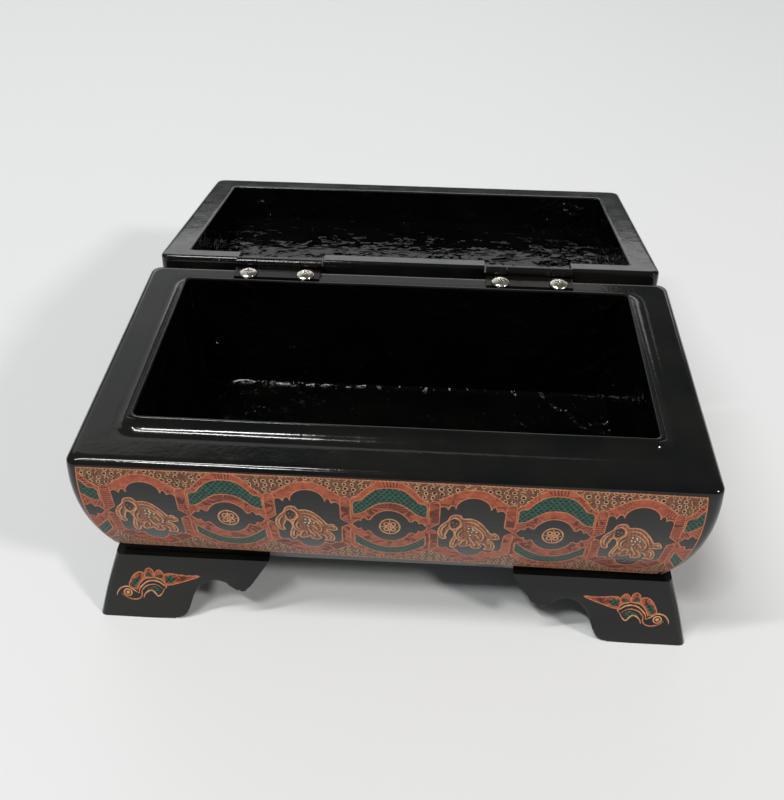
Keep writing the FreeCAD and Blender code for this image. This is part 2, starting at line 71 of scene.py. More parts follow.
# %% [markdown]
# ## Sizes
# A cabinet maker marks out from the finished carcass, and so does this lesson. The main
# lengths below come from the boxes round the model's own pieces, turned into
# millimetres, which are easier to think in. The other numbers written out are a maker's
# choices, such as how round an edge is, or how thick a coat lies.


# %% Read the carcass
def span(node):
    """Lowest and highest corner of a piece of the model, in millimetres."""
    low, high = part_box(node)
    return low / MM, high / MM


front_low, front_high = span("base_front_board")
back_low, _ = span("base_back_board")
right_low, _ = span("base_right_end_board")
floor_low, floor_high = span("base_bottom_board")

BULGE = 1.7            # the walls' widest line stands out this far past the ledge
ROUNDING = 72.7        # radius of the walls' barrel shape
BULGE_DROP = 11.0      # widest line below the ledge
LIP_RISE = 2.8
UNDERSIDE = front_low.z
LEDGE = front_high.z - LIP_RISE
HALF_WIDTH = front_high.x - BULGE
HALF_DEPTH = -front_low.y - BULGE
INSIDE_X = right_low.x
INSIDE_FRONT = front_high.y
INSIDE_BACK = back_low.y
print(f"ledge {2 * HALF_WIDTH:.1f} by {2 * HALF_DEPTH:.1f} mm, {LEDGE:.1f} mm above the table")

# %% [markdown]
# ## Meshes from plain lists
# Each piece of lacquered wood becomes one closed mesh. `make_piece` takes corners in
# millimetres, gives the piece to the body it moves with, and hides the plain piece that
# it stands for. Smooth shading with sharp edges kept past an angle lets a rounded edge
# carry one long highlight, which is what makes lacquer look deep.


# %% Making a piece
CREASE = 38            # edges that turn more sharply than this, in degrees, stay sharp


def face_outwards(mesh):
    work = bmesh.new()
    work.from_mesh(mesh)
    bmesh.ops.recalc_face_normals(work, faces=work.faces)
    work.to_mesh(mesh)
    work.free()


def in_scene(name, data):
    thing = bpy.data.objects.new(name, data)
    bpy.context.scene.collection.objects.link(thing)
    return thing


def plain_mesh(name, corners, faces):
    mesh = bpy.data.meshes.new(name)
    mesh.from_pydata([Vector(c) * MM for c in corners], [], faces)
    return mesh


def make_piece(name, corners, faces, body, stands_for, slot="black_lacquer", crease=CREASE):
    mesh = plain_mesh(name, corners, faces)
    mesh.validate()
    face_outwards(mesh)
    mesh.shade_smooth()
    mesh.set_sharp_from_angle(angle=math.radians(crease))
    piece = in_scene(name, mesh)
    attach(piece, body)
    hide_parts(*stands_for)
    return piece


# %% [markdown]
# ## The walls as one moulding
# The real walls are four boards, glued and then shaped together, so their curves run
# round the corners without a break. The easiest way to get that is a picture framer's:
# draw the section of the moulding once, carry it round a rounded rectangle, and saw the
# ring into boards afterwards. Each line of the section says how far in it lies at the
# front, the back and the ends, how high it is, and how round its corner is in plan.


# %% Carry a section round the box
ALONG_FRONT, ALONG_END, ROUND_CORNER = 84, 48, 6


def loop_of(inset_front, inset_back, inset_end, radius):
    """A rounded rectangle as points, from the front right corner anticlockwise."""
    x = HALF_WIDTH - inset_end
    front, back = -HALF_DEPTH + inset_front, HALF_DEPTH - inset_back
    centres = [(x, front, -90), (x, back, 0), (-x, back, 90), (-x, front, 180)]
    counts = [ALONG_END, ALONG_FRONT, ALONG_END, ALONG_FRONT]
    rounded = []
    for cx, cy, start in centres:
        cx -= math.copysign(radius, cx)
        cy += radius if cy == front else -radius
        for step in range(ROUND_CORNER + 1):
            turn = math.radians(start + 90 * step / ROUND_CORNER)
            rounded.append((cx + radius * math.cos(turn), cy + radius * math.sin(turn)))
    points = []
    for corner in range(4):
        first = corner * (ROUND_CORNER + 1)
        points += rounded[first:first + ROUND_CORNER + 1]
        here, there = points[-1], rounded[(first + ROUND_CORNER + 1) % len(rounded)]
        for step in range(1, counts[corner]):
            t = step / counts[corner]
            points.append((here[0] + (there[0] - here[0]) * t, here[1] + (there[1] - here[1]) * t))
    return points


def moulding(section, rumple, ring=True):
    """One loop of points for each line of the section, as a ring or as a solid with two ends."""
    corners, faces = [], []
    for front, back, end, height, radius in section:
        for x, y in loop_of(front, back, end, radius):
            corners.append(rumple(Vector((x, y, height))))
    count = len(corners) // len(section)
    for row in range(len(section) if ring else len(section) - 1):
        above = (row + 1) % len(section)
        for k in range(count):
            near = (k + 1) % count
            faces.append((row * count + k, row * count + near, above * count + near, above * count + k))
    if not ring:
        faces.append(list(range(count))[::-1])
        faces.append(list(range(len(corners) - count, len(corners))))
    return corners, faces


# %% [markdown]
# ## Lacquer is never flat
# Lacquer is brushed on, rubbed down, and brushed on again. Outside it is polished nearly
# true, with a slow waviness. Inside the box nobody polishes it: it pools in the corners,
# sags down the walls and dries in lumps. Both are small moves of the mesh's own points,
# taken from smooth noise: a slow one everywhere, a quick one on the inside only.


# %% Coats of lacquer
WAVE, WAVE_DEPTH = 17.0, 0.045         # length and height of the slow waviness
FINE_LUMP, COARSE_LUMP = 1.9, 5.5
LUMP_DEPTH = 0.16
FADE_IN = 4.0          # the lumps reach their full height this far down a wall
HAIR = 0.05            # a gap too small to see


def within(p, half_x, low_y, high_y, slack=HAIR):
    return abs(p.x) < half_x + slack and low_y - slack < p.y < high_y + slack


def slow_wave(p, size=WAVE, depth=WAVE_DEPTH):
    return noise.noise_vector(p / size) * depth


def lumps(p, depth):
    fine = noise.noise_vector(p / FINE_LUMP + Vector((3, 7, 1)))
    coarse = noise.noise_vector(p / COARSE_LUMP)
    return (fine * 0.55 + coarse) * depth


def rumple_base(p):
    lumpy = 0.0
    if within(p, INSIDE_X, INSIDE_FRONT, INSIDE_BACK):
        lumpy = min(1.0, max(0.0, (LEDGE - p.z) / FADE_IN))
    moved = p + slow_wave(p) + lumps(p, LUMP_DEPTH) * lumpy
    moved.z = max(moved.z, UNDERSIDE)
    return moved


# %% The section of the base
def wall_reach(height):
    """How far the barrel-shaped wall stands inside the ledge's edge at a height."""
    off = LEDGE - BULGE_DROP - height
    return ROUNDING - BULGE - math.sqrt(ROUNDING ** 2 - off ** 2)


EDGE = 1.3             # rounding of the ledge's outer edge
CORNER = 2.5           # rounding of the upright corners
LEDGE_FRONT, LEDGE_BACK, LEDGE_END = 7.7, 5.0, 7.8
LIP_RUN = 3.9
LIP_TOP = 0.8
LIP_CORNER = 5.0
LIP_TURN = 78          # degrees that the lip's hollow flank turns through
LIP_LEAD = 0.6         # the flank runs out into the ledge over this length
LIP_SINK = 0.12        # the flank stops this far below the lip's top
LIP_BREAK = 0.45       # the lip's inner edge is rubbed down this far
INNER_CORNER = 1.5
UNDER_CHAMFER, UNDER_RISE = 0.6, 0.4


def ledge_plus(run):
    """A line that lies some way further in than the ledge, at the front, back and ends."""
    return LEDGE_FRONT + run, LEDGE_BACK + run, LEDGE_END + run


def outer_wall(low, high, steps):
    heights = [low + (high - low) * k / steps for k in range(steps + 1)]
    return [(wall_reach(z),) * 3 + (z, CORNER) for z in heights]


def outside_section():
    section = [(wall_reach(UNDERSIDE) + UNDER_CHAMFER,) * 3 + (UNDERSIDE, CORNER)]
    section += outer_wall(UNDERSIDE + UNDER_RISE, LEDGE - EDGE, 22)
    for step in range(1, 8):
        turn = math.radians(90 * step / 8)
        inset = wall_reach(LEDGE - EDGE) * (1 - step / 8) + EDGE * (1 - math.cos(turn))
        section.append((inset,) * 3 + (LEDGE - EDGE + EDGE * math.sin(turn), CORNER))
    for share in (0.0, 0.08, 0.3, 0.6, 0.85, 1.0):
        radius = CORNER + (LIP_CORNER - CORNER) * share
        across = [EDGE + (ledge - EDGE) * share for ledge in ledge_plus(-LIP_LEAD)]
        section.append((*across, LEDGE, radius))
    return section


def lip_section():
    section = []
    whole = math.radians(LIP_TURN)
    for step in range(1, 10):
        turn = whole * step / 9
        run = -LIP_LEAD + (LIP_RUN + LIP_LEAD) * math.sin(turn) / math.sin(whole)
        rise = LIP_RISE * (1 - math.cos(turn)) / (1 - math.cos(whole))
        radius = LIP_CORNER + (INNER_CORNER + LIP_TOP - LIP_CORNER) * step / 9
        section.append((*ledge_plus(run), LEDGE + rise - LIP_SINK, radius))
    for share, drop in ((0.2, 0.0), (0.55, 0.0), (0.85, LIP_SINK), (1.0, LIP_BREAK)):
        across = ledge_plus(LIP_RUN + LIP_TOP * share)
        section.append((*across, LEDGE + LIP_RISE - drop, INNER_CORNER))
    return section


def inner_wall(steps):
    top = LEDGE + LIP_RISE - LIP_BREAK
    heights = [top - (top - UNDERSIDE) * k / steps for k in range(1, steps + 1)]
    return [(*ledge_plus(LIP_RUN + LIP_TOP), z, INNER_CORNER) for z in heights]


def base_section():
    return outside_section() + lip_section() + inner_wall(26)


base_ring = moulding(base_section(), rumple_base)
print("base moulding:", len(base_ring[0]), "corners")

# %% [markdown]
# ## Sawing the ring into boards
# The front and back boards run the full width and the end boards stand between them.
# The lacquer has cracked finely along those joints, as it does when the wood moves. So
# the ring is cut by two flat planes, every cut is closed, and its edge gets a hair of a
# chamfer, which shows as the same thin line.


# %% Saw and chamfer
CRACK = 0.07           # width of the crack in the lacquer along a joint


def cut_through(work, point, away, clear=False):
    """Cut a whole mesh along a plane, and clear away what lies beyond it if asked."""
    everything = work.verts[:] + work.edges[:] + work.faces[:]
    bmesh.ops.bisect_plane(work, geom=everything, plane_co=point, plane_no=away, clear_outer=clear)


def unpack(work):
    """The corners and faces of a finished mesh as plain lists."""
    bmesh.ops.triangulate(work, faces=[f for f in work.faces if len(f.verts) > 4])
    corners = [v.co.copy() for v in work.verts]
    order = {v: k for k, v in enumerate(work.verts)}
    faces = [[order[v] for v in f.verts] for f in work.faces]
    work.free()
    return corners, faces


def saw(ring, keep_planes):
    """The part of a ring on the kept side of each plane, given as (point, away)."""
    work = bmesh.new()
    spots = [work.verts.new(c) for c in ring[0]]
    for face in ring[1]:
        work.faces.new([spots[k] for k in face])
    for point, away in keep_planes:
        cut_through(work, point, away, clear=True)
        rim = [e for e in work.edges if e.is_boundary]
        if not rim:
            continue
        lids = bmesh.ops.holes_fill(work, edges=rim, sides=0)["faces"]
        chamfered = {vert for edge in rim for vert in edge.verts}
        bmesh.ops.inset_region(work, faces=lids, thickness=CRACK, depth=0.0)
        for vert in chamfered:
            vert.co -= Vector(away) * CRACK
    return unpack(work)


def four_boards(inside_front, inside_back):
    """The saw cuts for each board of a ring; the joints stand just clear of its corners."""
    ahead, behind, rightwards = Vector((0, -1, 0)), Vector((0, 1, 0)), Vector((1, 0, 0))
    front_joint = Vector((0, inside_front + INNER_CORNER + 0.1, 0))
    back_joint = Vector((0, inside_back - INNER_CORNER - 0.1, 0))
    middle = Vector((0, 0, 0))
    between_joints = [(front_joint, ahead), (back_joint, behind)]
    return {
        "front_board": [(front_joint, behind)],
        "back_board": [(back_joint, ahead)],
        "left_end_board": between_joints + [(middle, rightwards)],
        "right_end_board": between_joints + [(middle, -rightwards)],
    }


wooden = []
for board_name, planes in four_boards(INSIDE_FRONT, INSIDE_BACK).items():
    node = "base_" + board_name
    board = make_piece("lacquered_" + node, *saw(base_ring, planes), "base", [node])
    wooden.append(board)
    print(board.name, len(board.data.polygons), "faces")

# %% [markdown]
# ## The floor of the box
# The bottom board is flat, but the lacquer poured over it creeps a little way up the
# walls and dries with dimples and dust in it. A fine grid for its upper face takes both.


# %% Bottom board
def slab(half_x, low_y, high_y, low_z, high_z, pitch, upper):
    """A closed slab whose upper face is a grid lifted by a function of its place."""
    across = round(2 * half_x / pitch)
    deep = round((high_y - low_y) / pitch)
    corners, faces = [], []
    for row in range(deep + 1):
        for column in range(across + 1):
            x = -half_x + 2 * half_x * column / across
            y = low_y + (high_y - low_y) * row / deep
            corners.append(upper(x, y, high_z))
    wide = across + 1
    for row in range(deep):
        for column in range(across):
            k = row * wide + column
            faces.append((k, k + 1, k + wide + 1, k + wide))
    rim = list(range(wide)) + [wide * r + across for r in range(1, deep + 1)]
    rim += [wide * deep + c for c in range(across - 1, -1, -1)]
    rim += [wide * r for r in range(deep - 1, 0, -1)]
    first = len(corners)
    for k in rim:
        p = corners[k]
        corners.append(Vector((p[0], p[1], low_z)))
    for k in range(len(rim)):
        near = (k + 1) % len(rim)
        faces.append((rim[k], first + k, first + near, rim[near]))
    faces.append([first + k for k in range(len(rim))])
    return corners, faces


CREEP, CREEP_RUN = 0.9, 2.4            # height and length of the lacquer's rise at a wall
GRID = 0.9
COAT_ROOM = 0.2        # the wood lies this far below the coats


def poured(x, y, z):
    p = Vector((x, y, z))
    edge = min(INSIDE_X - abs(x), y - INSIDE_FRONT, INSIDE_BACK - y)
    creep = CREEP * max(0.0, 1 - edge / CREEP_RUN) ** 2
    bump = noise.noise(p / 2.1) * 0.10 + noise.noise(p / 6.0) * 0.16
    return Vector((x, y, z + creep + bump * min(1.0, 0.4 + edge)))


bottom = slab(
    INSIDE_X - HAIR, INSIDE_FRONT + HAIR, INSIDE_BACK - HAIR,
    floor_low.z, floor_high.z - COAT_ROOM, GRID, poured,
)
node = "base_bottom_board"
wooden.append(make_piece("lacquered_" + node, *bottom, "base", [node], crease=60))
print("floor", len(bottom[1]), "faces")

# %% [markdown]
# ## The lid, made shut and swung open
# The lid is a shallow tray with the same barrel sides. It is easier to make where its
# sides are square to the table, so it is made shut and then each point is swung back
# about the hinge pin, as far as the model's own joint says.

# %% Swing a point with the lid
hinge_joint = next(j for j in frame["joints"] if j["name"] == "lid_hinge")
PIN = Vector(hinge_joint["pos_m"]) / MM
OPEN_BY = max(abs(limit) for limit in hinge_joint["range_deg"])
swing = (
    Matrix.Translation(PIN)
    @ Matrix.Rotation(math.radians(-OPEN_BY), 4, "X")
    @ Matrix.Translation(-PIN)
)
LID_GAP = 1.1
TRAY_DEPTH, PANEL = 11.5, 4.5
RIM = LEDGE + LID_GAP
WALL_TOP = RIM + TRAY_DEPTH
LID_TOP = WALL_TOP + PANEL
LID_WIDEST = 3.0       # widest line of the lid's walls, above its rim
RIM_ROUND, RIM_BREAK = 1.0, 0.5        # outer and inner rounding of the rim
SETBACK = 0.5
LID_FRONT, LID_BACK, LID_END = 8.4 + SETBACK, 5.4 + SETBACK, 8.2 + SETBACK
LID_IN_X = HALF_WIDTH - LID_END
LID_IN_FRONT, LID_IN_BACK = -HALF_DEPTH + LID_FRONT, HALF_DEPTH - LID_BACK
print(f"lid opens by {OPEN_BY:.0f} degrees about y {PIN.y:.1f}, z {PIN.z:.1f}")


def lid_reach(height):
    off = RIM + LID_WIDEST - height
    return SETBACK - 0.1 + ROUNDING - math.sqrt(ROUNDING ** 2 - off ** 2)


def rumple_lid(p):
    lumpy = 0.0
    if within(p, LID_IN_X, LID_IN_FRONT, LID_IN_BACK):
        lumpy = min(1.0, max(0.0, (p.z - RIM - 0.6) / 3.0))
    return p + slow_wave(p + Vector((40, 0, 9))) + lumps(p + Vector((0, 50, 0)), 0.15) * lumpy


# %% The lid's walls
def lid_section():
    section = []
    insides = (LID_FRONT, LID_BACK, LID_END)
    for k in range(9):
        z = WALL_TOP - (WALL_TOP - RIM - RIM_ROUND) * k / 8
        section.append((lid_reach(z),) * 3 + (z, CORNER))
    for step in range(1, 7):
        turn = math.radians(90 * step / 6)
        inset = lid_reach(RIM + RIM_ROUND) + RIM_ROUND * (1 - math.cos(turn))
        section.append((inset,) * 3 + (RIM + RIM_ROUND * (1 - math.sin(turn)), CORNER))
    outer = RIM_ROUND + 0.4
    for share in (0.12, 0.4, 0.7, 0.92, 1.0):
        across = [outer + (inside - RIM_BREAK - outer) * share for inside in insides]
        section.append((*across, RIM, CORNER + (INNER_CORNER - CORNER) * share))
    for step in range(1, 5):
        turn = math.radians(90 * step / 4)
        across = [inside - RIM_BREAK * (1 - math.sin(turn)) for inside in insides]
        section.append((*across, RIM + RIM_BREAK * (1 - math.cos(turn)), INNER_CORNER))
    for k in range(1, 12):
        z = RIM + RIM_BREAK + (WALL_TOP - RIM - RIM_BREAK) * k / 11
        section.append((*insides, z, INNER_CORNER))
    return section


lid_ring = moulding(lid_section(), rumple_lid)
for board_name, planes in four_boards(LID_IN_FRONT, LID_IN_BACK).items():
    node = "lid_" + board_name
    corners, faces = saw(lid_ring, planes)
    board = make_piece("lacquered_" + node, [swing @ c for c in corners], faces, "lid", [node])
    wooden.append(board)
    print(board.name, len(faces), "faces")

# %% [markdown]
# ## The lid's top
# The top panel closes the tray. Outside it is rubbed flat with a soft edge; inside it is
# the lumpy ceiling that shows as a floor when the lid lies open. Loops that shrink
# towards the middle give both faces enough points to carry the unevenness.


# %% Top panel
def rumple_panel(p):
    lumpy = 1.0 if p.z < WALL_TOP + 0.5 else 0.0
    return p + slow_wave(p + Vector((9, 0, 70))) + lumps(p + Vector((0, 90, 0)), 0.13) * lumpy


TOP_ROUND, CROWN = 3.0, 0.25           # rounded edge and gentle crown of the top
INNERMOST = HALF_DEPTH - 1.2           # inset of the smallest loop


def panel_line(inset, height, radius):
    return (inset,) * 3 + (height, radius)


panel_section = []
for k in range(25):
    inset = INNERMOST + (lid_reach(WALL_TOP) + 0.1 - INNERMOST) * k / 24
    panel_section.append(panel_line(inset, WALL_TOP, CORNER * min(1, k / 24 + 0.1)))
for k in range(11):
    turn = math.radians(90 * k / 10)
    inset = lid_reach(LID_TOP - TOP_ROUND) + TOP_ROUND * (1 - math.cos(turn))
    panel_section.append(panel_line(inset, LID_TOP - TOP_ROUND * (1 - math.sin(turn)), CORNER))
edge_of_top = lid_reach(LID_TOP) + TOP_ROUND
for k in range(1, 15):
    inset = edge_of_top + (INNERMOST - edge_of_top) * k / 14
    height = LID_TOP + CROWN * math.sin(math.radians(90 * k / 14))
    panel_section.append(panel_line(inset, height, CORNER * (1 - 0.9 * k / 14)))
corners, faces = moulding(panel_section, rumple_panel, ring=False)
node = "lid_top_panel"
wooden.append(make_piece("lacquered_" + node, [swing @ c for c in corners], faces, "lid", [node]))
print("lid top", len(faces), "faces")

# %% [markdown]
# ## Notches for the hinges
# Each lid leaf lies in a notch sawn through the lid's rim. A solid cutter and an exact
# boolean give the clean saw cut of the real thing.


# %% Cut the notches
def carve(piece, cutter_meshes):
    """Cut some closed shapes out of a piece."""
    cutters = []
    for k, (corners, faces) in enumerate(cutter_meshes):
        cutter = in_scene(f"cutter_{k}", plain_mesh(f"cutter_{k}", corners, faces))
        cutters.append(cutter)
        step = piece.modifiers.new(f"cut_{k}", "BOOLEAN")
        step.object, step.operation, step.solver = cutter, "DIFFERENCE", "EXACT"
    bpy.context.view_layer.update()
    shaped = piece.evaluated_get(bpy.context.evaluated_depsgraph_get())
    carved = bpy.data.meshes.new_from_object(shaped)
    piece.modifiers.clear()
    old, piece.data = piece.data, carved
    bpy.data.meshes.remove(old)
    for cutter in cutters:
        bpy.data.objects.remove(cutter)
    carved.shade_smooth()
    carved.set_sharp_from_angle(angle=math.radians(CREASE))
    return piece


BLOCK_FACES = [(0, 2, 3, 1), (4, 5, 7, 6), (0, 1, 5, 4), (2, 6, 7, 3), (0, 4, 6, 2), (1, 3, 7, 5)]


def block(low, high):
    sides = [(low[k], high[k]) for k in range(3)]
    corners = [Vector((x, y, z)) for z in sides[2] for y in sides[1] for x in sides[0]]
    return corners, BLOCK_FACES


LEAF_TOP = PIN.z + 1.5
LEAF_ROOM, RUN_OUT = 0.3, 3            # play beside a leaf; how far the saw runs out
notches = []
for side in ("left", "right"):
    low, high = span(f"{side}_hinge_lid_leaf")
    near_corner = (low.x - LEAF_ROOM, LID_IN_BACK - RUN_OUT, RIM - RUN_OUT)
    far_corner = (high.x + LEAF_ROOM, HALF_DEPTH + RUN_OUT, LEAF_TOP)
    corners, faces = block(near_corner, far_corner)
    notches.append(([swing @ c for c in corners], faces))
lid_back = next(w for w in wooden if w.name == "lacquered_lid_back_board")
carve(lid_back, notches)
print("lid back board after the saw:", len(lid_back.data.polygons), "faces")

# %% [markdown]
# ## Bracket feet
# Each foot is two boards that lean outwards and meet in a mitre at the corner. One board
# is drawn flat as its outline, given its thickness and its softened edges, leant out,
# and cut along the mitre. The corner itself is rubbed round, so the outer face eases
# back towards it. The foot's other board is the same work with width and depth swapped.


# %% One foot board
def flowing(points, closed=False, steps=5):
    """A smooth line through a few points."""
    knots = [Vector(p) for p in points]
    count = len(knots)
    spans = count if closed else count - 1
    line = []
    for k in range(spans):
        if closed:
            a, b, c, d = (knots[(k + j) % count] for j in (-1, 0, 1, 2))
        else:
            a, b, c, d = (knots[min(max(k + j, 0), count - 1)] for j in (-1, 0, 1, 2))
        for step in range(steps):
            t = step / steps
            bend, twist = 2 * a - 5 * b + 4 * c - d, 3 * b - a - 3 * c + d
            line.append(0.5 * (2 * b + (c - a) * t + bend * t * t + twist * t ** 3))
    if not closed:
        line.append(knots[-1])
    return line


FOOT_INSET, SPLAY, BOARD = 2.3, 6.4, 4.5
BELLY = 0.2            # the leaning face swells outwards by this much halfway up
SOFT_CORNER = 1.7
SOFT_EDGE = 0.55
END_SHARE = 0.68       # length of an end bracket for each unit of a long bracket
FOOT_WAVE = (9.0, 0.05)                # length and height of the feet's waviness
PAST_MITRE = -14.0     # the boards start out this far past the corner
FOOT_END = (43.7, 19.5)
HEEL = [(16.3, 0.0), (18.3, 0.3), (19.9, 1.3), (20.9, 2.9)]
ARCH = [(21.6, 4.9), (22.8, 8.0), (24.8, 10.9), (27.0, 12.4), (29.0, 12.8)]
CUSP = [(31.3, 12.3), (33.8, 10.9), (35.5, 9.9), (36.6, 9.8), (37.6, 10.7), (40.4, 14.7)]


def foot_outline(stretch):
    underside = flowing(HEEL + ARCH + CUSP + [FOOT_END], steps=4)
    below = [(p.x * stretch, p.y) for p in underside]
    return [(PAST_MITRE, 0.0)] + below + [(PAST_MITRE, FOOT_END[1])]


def lean(z):
    """How far inside the ledge's edge the outer face of a foot lies at a height."""
    share = z / UNDERSIDE
    return FOOT_INSET - SPLAY * (1 - share) - BELLY * math.sin(math.pi * share)


def ease_back(vert):
    """Round the outer face off towards the mitre."""
    past = vert.co.x - lean(vert.co.z)
    if past < SOFT_CORNER:
        left = SOFT_CORNER - max(past, 0.0)
        swell = SOFT_CORNER - math.sqrt(max(0.0, SOFT_CORNER ** 2 - left ** 2))
        vert.co.y = max(vert.co.y, lean(vert.co.z) + swell)


def foot_board(stretch):
    """Corners as (along, inwards, up) from the ledge's own corner, and faces."""
    work = bmesh.new()
    face = work.faces.new([work.verts.new((x, 0.0, z)) for x, z in foot_outline(stretch)])
    pushed = bmesh.ops.extrude_face_region(work, geom=[face])["geom"]
    for item in pushed:
        if isinstance(item, bmesh.types.BMVert):
            item.co.y += BOARD
    rims = [e for e in work.edges if abs(e.verts[0].co.y - e.verts[1].co.y) < 0.01]
    rims = [e for e in rims if max(v.co.z for v in e.verts) < UNDERSIDE - 0.01 or e.calc_length() < 12]
    rims = [e for e in rims if min(v.co.x for v in e.verts) > PAST_MITRE + 0.1]
    bmesh.ops.bevel(
        work, geom=rims, offset=SOFT_EDGE, segments=3, profile=0.5, affect="EDGES", clamp_overlap=True
    )
    for k in range(1, 9):
        cut_through(work, (0, 0, UNDERSIDE * k / 9), (0, 0, 1))
    for vert in work.verts:
        vert.co.y += lean(vert.co.z)
    slope = (lean(UNDERSIDE) - lean(0)) / UNDERSIDE
    for angle in (45, 55, 65, 78, 90):
        ease = SOFT_CORNER * (1 - math.cos(math.radians(angle)))
        cut_through(work, (lean(0) + ease, 0, 0), (1, 0, -slope))
    for vert in work.verts:
        ease_back(vert)
    cut_through(work, (0, 0, 0), (-1, 1, 0), clear=True)
    bmesh.ops.holes_fill(work, edges=[e for e in work.edges if e.is_boundary], sides=0)
    return unpack(work)


def waved_foot(p):
    return Vector((*(p + slow_wave(p, *FOOT_WAVE)).xy, p.z))


flat_boards = {"long_bracket": foot_board(1.0), "end_bracket": foot_board(END_SHARE)}
for end, x_way in (("left", 1), ("right", -1)):
    for face, y_way in (("front", 1), ("back", -1)):
        for kind, (flat, faces) in flat_boards.items():
            placed = []
            for c in flat:
                along, inwards = (c.x, c.y) if kind == "long_bracket" else (c.y, c.x)
                x, y = x_way * (along - HALF_WIDTH), y_way * (inwards - HALF_DEPTH)
                placed.append(waved_foot(Vector((x, y, c.z))))
            node = f"{face}_{end}_foot_{kind}"
            wooden.append(make_piece("lacquered_" + node, placed, faces, "base", [node], crease=34))
print("foot board", len(flat_boards["long_bracket"][1]), "faces")

# %% [markdown]
# ## Screws
# The base leaves are held by four bright screws with domed heads and a cross recess. A
# head is a turned section, so it is spun from its half outline, and the recess is cut by
# two tapered wedges. Each screw has stopped at its own angle, as real ones do.


# %% Turn and cut a screw
FACETS = 40


def turned(outline, centre):
    """A solid spun from its half outline, which starts and ends on the axis."""
    corners, faces, rings = [], [], []
    for radius, height in outline:
        if radius == 0:
            rings.append([len(corners)] * FACETS)
            corners.append(centre + Vector((0, 0, height)))
            continue
        rings.append([len(corners) + k for k in range(FACETS)])
        for k in range(FACETS):
            turn = 2 * math.pi * k / FACETS
            round_it = Vector((radius * math.cos(turn), radius * math.sin(turn), height))
            corners.append(centre + round_it)
    for lower, upper in zip(rings, rings[1:]):
        for k in range(FACETS):
            near = (k + 1) % FACETS
            ring = [lower[k], lower[near], upper[near], upper[k]]
            faces.append(list(dict.fromkeys(ring)))
    return corners, faces


HEAD, HEAD_RISE, DOME, SHANK = 2.7, 1.1, 0.82, 1.2
POINT = 1.6            # length of the screw's point
ARM, ARM_HALF, ARM_DEPTH = 1.55, 0.30, 0.75    # the recess: half length, half width, depth


def wedge(centre, turn):
    """A blade that narrows downwards, for one arm pair of a cross recess."""
    spin = Matrix.Rotation(math.radians(turn), 4, "Z")
    corners = []
    for z, share in ((-ARM_DEPTH, 0.45), (0.6, 1.25)):
        for y in (-ARM_HALF * share, ARM_HALF * share):
            for x in (-ARM * share, ARM * share):
                corners.append(centre + spin @ Vector((x, y, z)))
    return corners, BLOCK_FACES


def screw_outline(tip):
    """The half outline of a screw from its tip to its crown, seat at height 0."""
    below = [(0, tip), (0.25, tip), (SHANK, tip + POINT), (SHANK, -0.01)]
    below += [(HEAD - 0.15, -0.01), (HEAD, 0.14)]
    angles = [math.radians(90 * k / 9) for k in range(9, 0, -1)]
    dome = [(HEAD * math.sin(a), HEAD_RISE - DOME + DOME * math.cos(a)) for a in angles]
    return below + dome + [(0, HEAD_RISE)]


bright = []
for side, turns in (("left", (4, 38)), ("right", (24, 71))):
    low, high = span(f"{side}_hinge_base_screws")
    seat = high.z - HEAD_RISE
    row = (low.y + high.y) / 2
    corners, faces, blades = [], [], []
    for x, turn in zip((low.x + HEAD, high.x - HEAD), turns):
        centre = Vector((x, row, seat))
        screw_corners, screw_faces = turned(screw_outline(low.z - seat), centre)
        faces += [[k + len(corners) for k in f] for f in screw_faces]
        corners += screw_corners
        crown = centre + Vector((0, 0, HEAD_RISE))
        blades += [wedge(crown, turn), wedge(crown, turn + 90)]
    node = f"{side}_hinge_base_screws"
    screws = make_piece(f"{side}_bright_screws", corners, faces, "base", [node], "screw_steel")
    bright.append(carve(screws, blades))
    print(screws.name, len(screws.data.polygons), "faces")

# %% [markdown]
# ## The picture band
# The real band is cut through the black lacquer with a point and rubbed with one colour
# at a time. It could be a painted image, but a drawing in outlines stays sharp at any
# size and keeps each colour a finish of its own. So the band is drawn flat, as a painter
# would lay it out: closed shapes one over the other, the last one on top. A constrained
# triangulation then turns the whole stack into one flat sheet in which each triangle
# knows the topmost shape that it lies in.


# %% Curves for drawing
def oval(cx, cy, rx, ry, start=0, end=360, steps=20):
    count = steps if end - start == 360 else steps + 1
    angles = [math.radians(start + (end - start) * k / steps) for k in range(count)]
    return [Vector((cx + rx * math.cos(a), cy + ry * math.sin(a))) for a in angles]


def flipped(points):
    """The mirror image about the upright middle line, in the same turning sense."""
    return [Vector((-p[0], p[1])) for p in reversed(points)]


def both_sides(half):
    """A list of points that ends on the middle line, carried on to the other side."""
    return [Vector(p) for p in half] + flipped(half[:-1])


# %% The drawing as a stack of shapes
TINY = 1e-9
SLIVER = 1e-3          # areas below this, in square millimetres, are left out


def area_of(points):
    return sum(a.x * b.y - b.x * a.y for a, b in zip(points, points[1:] + points[:1])) / 2


